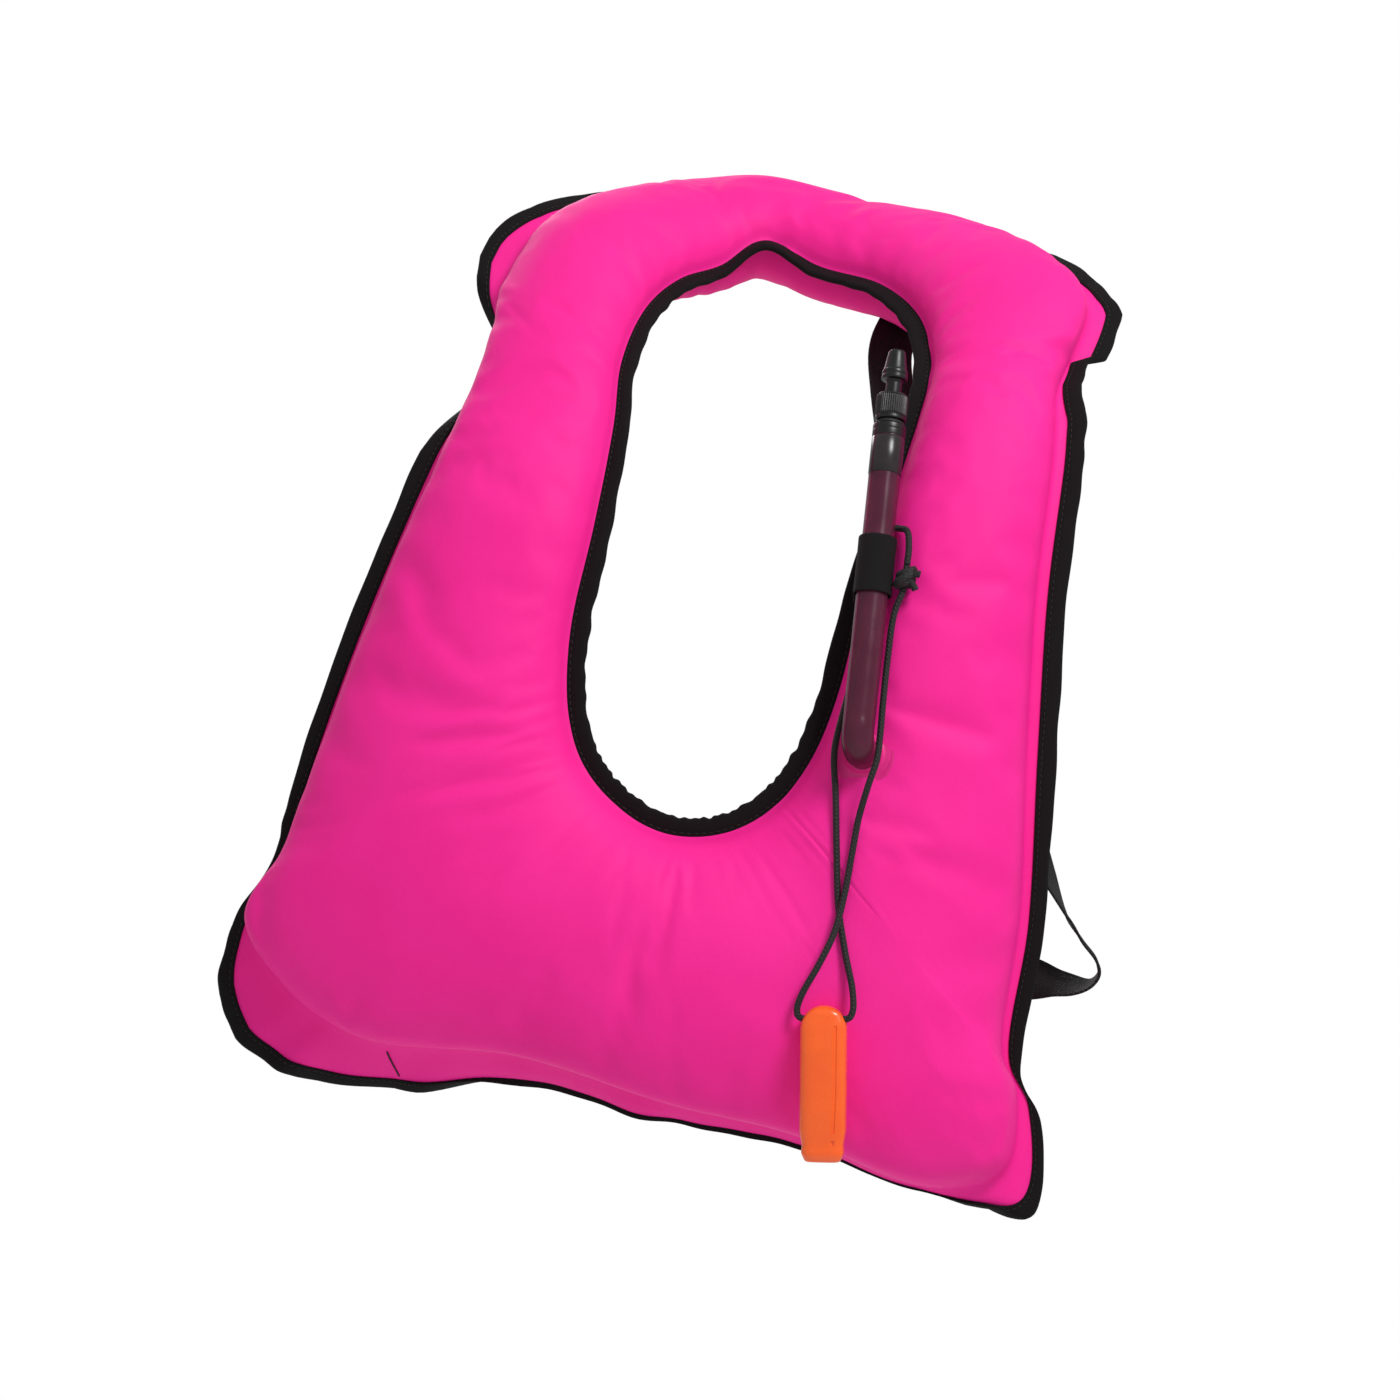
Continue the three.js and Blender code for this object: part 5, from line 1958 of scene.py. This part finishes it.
@dataclass
class Harness:
    """Strap from the nape down behind the vest, round the side loop and along the waist."""

    def build(self, nodes: dict) -> None:
        """Straps, patches, adjuster and buckle."""
        rows = NAPE_ROWS + DROP_ROWS + RIGHT_ROWS + LOOP_ROWS + belt_rows(BELT_RIGHT)
        belt = len(rows) - len(BELT_RIGHT)
        self.strap("harness_webbing", rows, 0, belt, None)
        fixed = self.x_row((184, 0))
        self.strap("belt_slack", rows, belt, belt + 4, (fixed, self.x_row((71, 0))))
        self.strap("belt_at_adjuster", rows, belt + 4, belt + 13, "adjuster")
        self.strap("belt_end", rows, belt + 13, len(rows) - 1, (self.x_row((8, 0)), self.x_row((46, 0))))
        left = belt_rows(BELT_LEFT) + LEFT_ROWS
        piece = Strap("belt_to_plug", left).mesh()
        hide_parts("belt_left")
        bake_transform(piece)
        for name in PATCHES:
            self.patch(name, *patch_place(name))
        for name in ("strap_adjuster", "buckle_female", "buckle_male"):
            self.hardware(nodes[name])

    @staticmethod
    def x_row(at: tuple) -> tuple:
        """Point of the belt plane in the row frame."""
        return tuple(to_row([at[0], BELT_PLANE[0] + at[1], BELT_PLANE[1]]))

    @staticmethod
    def strap(name: str, rows: tuple, low: int, high: int, mount: tuple | str | None) -> None:
        """One stretch of the harness strap.

        Args:
            name: Name of the piece.
            rows: Rows of the whole strap.
            low: First row of the stretch.
            high: Last row of the stretch.
            mount: A body; two points, which are not used, for a piece left fixed where it is built; or None
                for the vest.
        """
        piece = Strap(name, rows).mesh(low, high)
        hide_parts("harness_strap")
        if isinstance(mount, tuple):
            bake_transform(piece)
        else:
            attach(piece, mount or "vest")

    @staticmethod
    def patch(name: str, centre: Points, along: Points, normal: Points) -> None:
        """Sewn patch with a boxed cross of stitches over the strap.

        Args:
            name: Name of the CAD node that it replaces.
            centre: Point of the cover under the patch.
            along: Way of the strap.
            normal: Way out of the cover.
        """
        side = unit(np.cross(normal, along))
        way = unit(along)
        out = unit(normal)
        half_l, half_w = PATCH_HALF, 13.5
        u = np.concatenate([[-1.0, -0.975, -0.94], np.linspace(-0.85, 0.85, 12), [0.94, 0.975, 1.0]])
        grid_u, grid_v = np.meshgrid(u * half_l, u * half_w, indexing="ij")
        edge = np.maximum(np.abs(grid_u) / half_l, np.abs(grid_v) / half_w)
        height = 1.75 - 0.45 * np.clip((edge - 0.93) / 0.07, 0, 1) ** 2
        quilt = 0.12 * np.cos(grid_u * 0.9) * np.cos(grid_v * 0.9)
        top = (
            centre + way * grid_u[..., None] + side * grid_v[..., None]
            + out * (height - np.abs(quilt))[..., None]
        )
        bottom = centre + way * grid_u[..., None] + side * grid_v[..., None] + out * 0.3
        n = len(u)
        faces = grid_faces(n, n, False, False)
        faces += [tuple(i + n * n for i in f[::-1]) for f in grid_faces(n, n, False, False)]
        ring = list(range(n)) + [k * n + n - 1 for k in range(1, n)]
        ring += [(n - 1) * n + k for k in range(n - 2, -1, -1)] + [k * n for k in range(n - 2, 0, -1)]
        for a, b in zip(ring, ring[1:] + ring[:1]):
            faces.append((a, b, b + n * n, a + n * n))
        points = np.concatenate([top.reshape(-1, 3), bottom.reshape(-1, 3)])
        weave = np.tile(np.stack([grid_u, grid_v], -1).reshape(-1, 2), (2, 1)) * MM
        obj = make_object(f"{name}_cloth", to_row(points), faces, weave)
        outward(obj)
        dress(obj, PATCH_CLOTH.build())
        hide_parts(name)
        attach(obj, "vest")
        a, b = half_l - 3.0, half_w - 2.6
        corners = [(-a, -b), (a, -b), (a, b), (-a, b), (-a, -b), (a, b), (-a, b), (a, -b)]
        starts, ends = [], []
        lift = out * 3.75
        for (u0, v0), (u1, v1) in zip(corners, corners[1:]):
            span = math.hypot(u1 - u0, v1 - v0)
            count = max(1, round(span / 2.6))
            for k in range(count):
                s, e = k / count, (k + 0.74) / count
                for share, store in ((s, starts), (e, ends)):
                    u_at, v_at = u0 + (u1 - u0) * share, v0 + (v1 - v0) * share
                    store.append(centre + way * u_at + side * v_at + lift)
        stitch_row(f"{name}_stitches", np.array(starts), np.array(ends), 0.3, "vest")

    @staticmethod
    def hardware(node: bpy.types.Object) -> None:
        """Rounds the edges of a moulded fitting and gives it its plastic."""
        bevel = node.modifiers.new("round", "BEVEL")
        bevel.width = 0.6 * MM
        bevel.segments = 3
        bevel.limit_method = "ANGLE"
        bevel.angle_limit = math.radians(40)
        bevel.harden_normals = True
        node.data.polygons.foreach_set("use_smooth", [True] * len(node.data.polygons))
        dress(node, BLACK_ACETAL.build())


# ------------------------------------------------------------------ studio
@dataclass
class Studio:
    """Camera, plain pale floor and soft lights."""

    yaw: float = 6.0
    roll: float = 9.0
    distance: float = 1.7
    width: float = 0.742

    def camera(self) -> None:
        """Camera level with the middle of the vest, turned a little to its right."""
        low, high = CAD_BOX
        middle = (Vector(low) + Vector(high)) / 2
        aim = middle + Vector((0.0045, -0.089, -0.030))
        yaw, roll = math.radians(self.yaw), math.radians(self.roll)
        back = Vector((math.sin(yaw), -math.cos(yaw), 0.0))
        right = Vector((math.cos(yaw), math.sin(yaw), 0.0))
        up = Vector((0.0, 0.0, 1.0))
        turned_right = right * math.cos(roll) + up * math.sin(roll)
        turned_up = up * math.cos(roll) - right * math.sin(roll)
        data = bpy.data.cameras.new("camera")
        data.lens = 36 * self.distance / self.width
        data.clip_start, data.clip_end = 0.05, 50
        camera = bpy.data.objects.new("camera", data)
        matrix = Matrix((turned_right, turned_up, back)).transposed().to_4x4()
        matrix.translation = aim + back * self.distance
        camera.matrix_world = matrix
        bpy.context.collection.objects.link(camera)
        bpy.context.scene.camera = camera

    def light(self, name: str, at: tuple, power: float, size: float, tone: str) -> None:
        """Soft square light that faces the vest.

        Args:
            name: Name of the light.
            at: Place, in metres from the middle of the vest.
            power: Watts.
            size: Side of the square in metres.
            tone: sRGB colour.
        """
        low, high = CAD_BOX
        middle = (Vector(low) + Vector(high)) / 2
        data = bpy.data.lights.new(name, "AREA")
        data.energy, data.size, data.color = power, size, linear(tone)[:3]
        lamp = bpy.data.objects.new(name, data)
        lamp.location = middle + Vector(at)
        lamp.rotation_euler = (-Vector(at)).to_track_quat("-Z", "Y").to_euler()
        bpy.context.collection.objects.link(lamp)

    def floor(self) -> None:
        """Pale floor well under the vest."""
        low, high = CAD_BOX
        z = low[2] - 1.2
        size = 3.0
        obj = make_object(
            "floor", [(-size, -size, z), (size, -size, z), (size, size, z), (-size, size, z)], [(0, 1, 2, 3)]
        )
        material, _, shader = new_material("pale_floor")
        shader.inputs["Base Color"].default_value = linear("#f4f4f4")
        shader.inputs["Roughness"].default_value = 0.9
        dress(obj, material)

    def build(self) -> None:
        """World, lights and floor."""
        world = bpy.data.worlds.new("studio")
        world.use_nodes = True
        tree = world.node_tree
        seen = add_node(tree, "ShaderNodeLightPath")
        strength = add_node(
            tree,
            "ShaderNodeMapRange",
            values={"To Min": 0.5, "To Max": 1.0},
            links={"Value": seen.outputs["Is Camera Ray"]},
        )
        back = tree.nodes["Background"]
        back.inputs["Color"].default_value = (1, 1, 1, 1)
        tree.links.new(strength.outputs["Result"], back.inputs["Strength"])
        bpy.context.scene.world = world
        bpy.context.scene.view_settings.view_transform = "Standard"
        self.light("key", (1.1, -1.6, 1.9), 52, 0.8, "#ffffff")
        self.light("back", (-1.2, 1.9, 1.2), 22, 1.2, "#ffffff")
        self.floor()


def main() -> None:
    """Builds the whole vest in order and reports each piece."""
    logging.basicConfig(level=logging.INFO, format="%(name)s %(message)s")
    nodes = frame["nodes"]
    studio = Studio()
    studio.camera()
    steps = [
        ("lanyard and whistle", Lanyard().build),
        ("cover", VestCover(keep_clear=((tuple(PORT), 17.0),)).build),
        ("hem bar tack", bar_tack),
        ("bladder", Bladder().build),
        ("rim binding", EdgeBinding("rim_binding", "outer_binding", True, 900).build),
        ("neck binding", EdgeBinding("neck_edge_binding", "neck_binding", False, 500).build),
        ("port patch", PortPatch().build),
        ("inflation tube", InflationTube().build),
        ("oral valve", lambda: OralValve().build(nodes)),
        ("tube keeper", TubeKeeper().build),
        ("harness", lambda: Harness().build(nodes)),
        ("studio", studio.build),
    ]
    for name, build in steps:
        build()
        log.info("%s done", name)


if __name__ == "__main__":
    main()
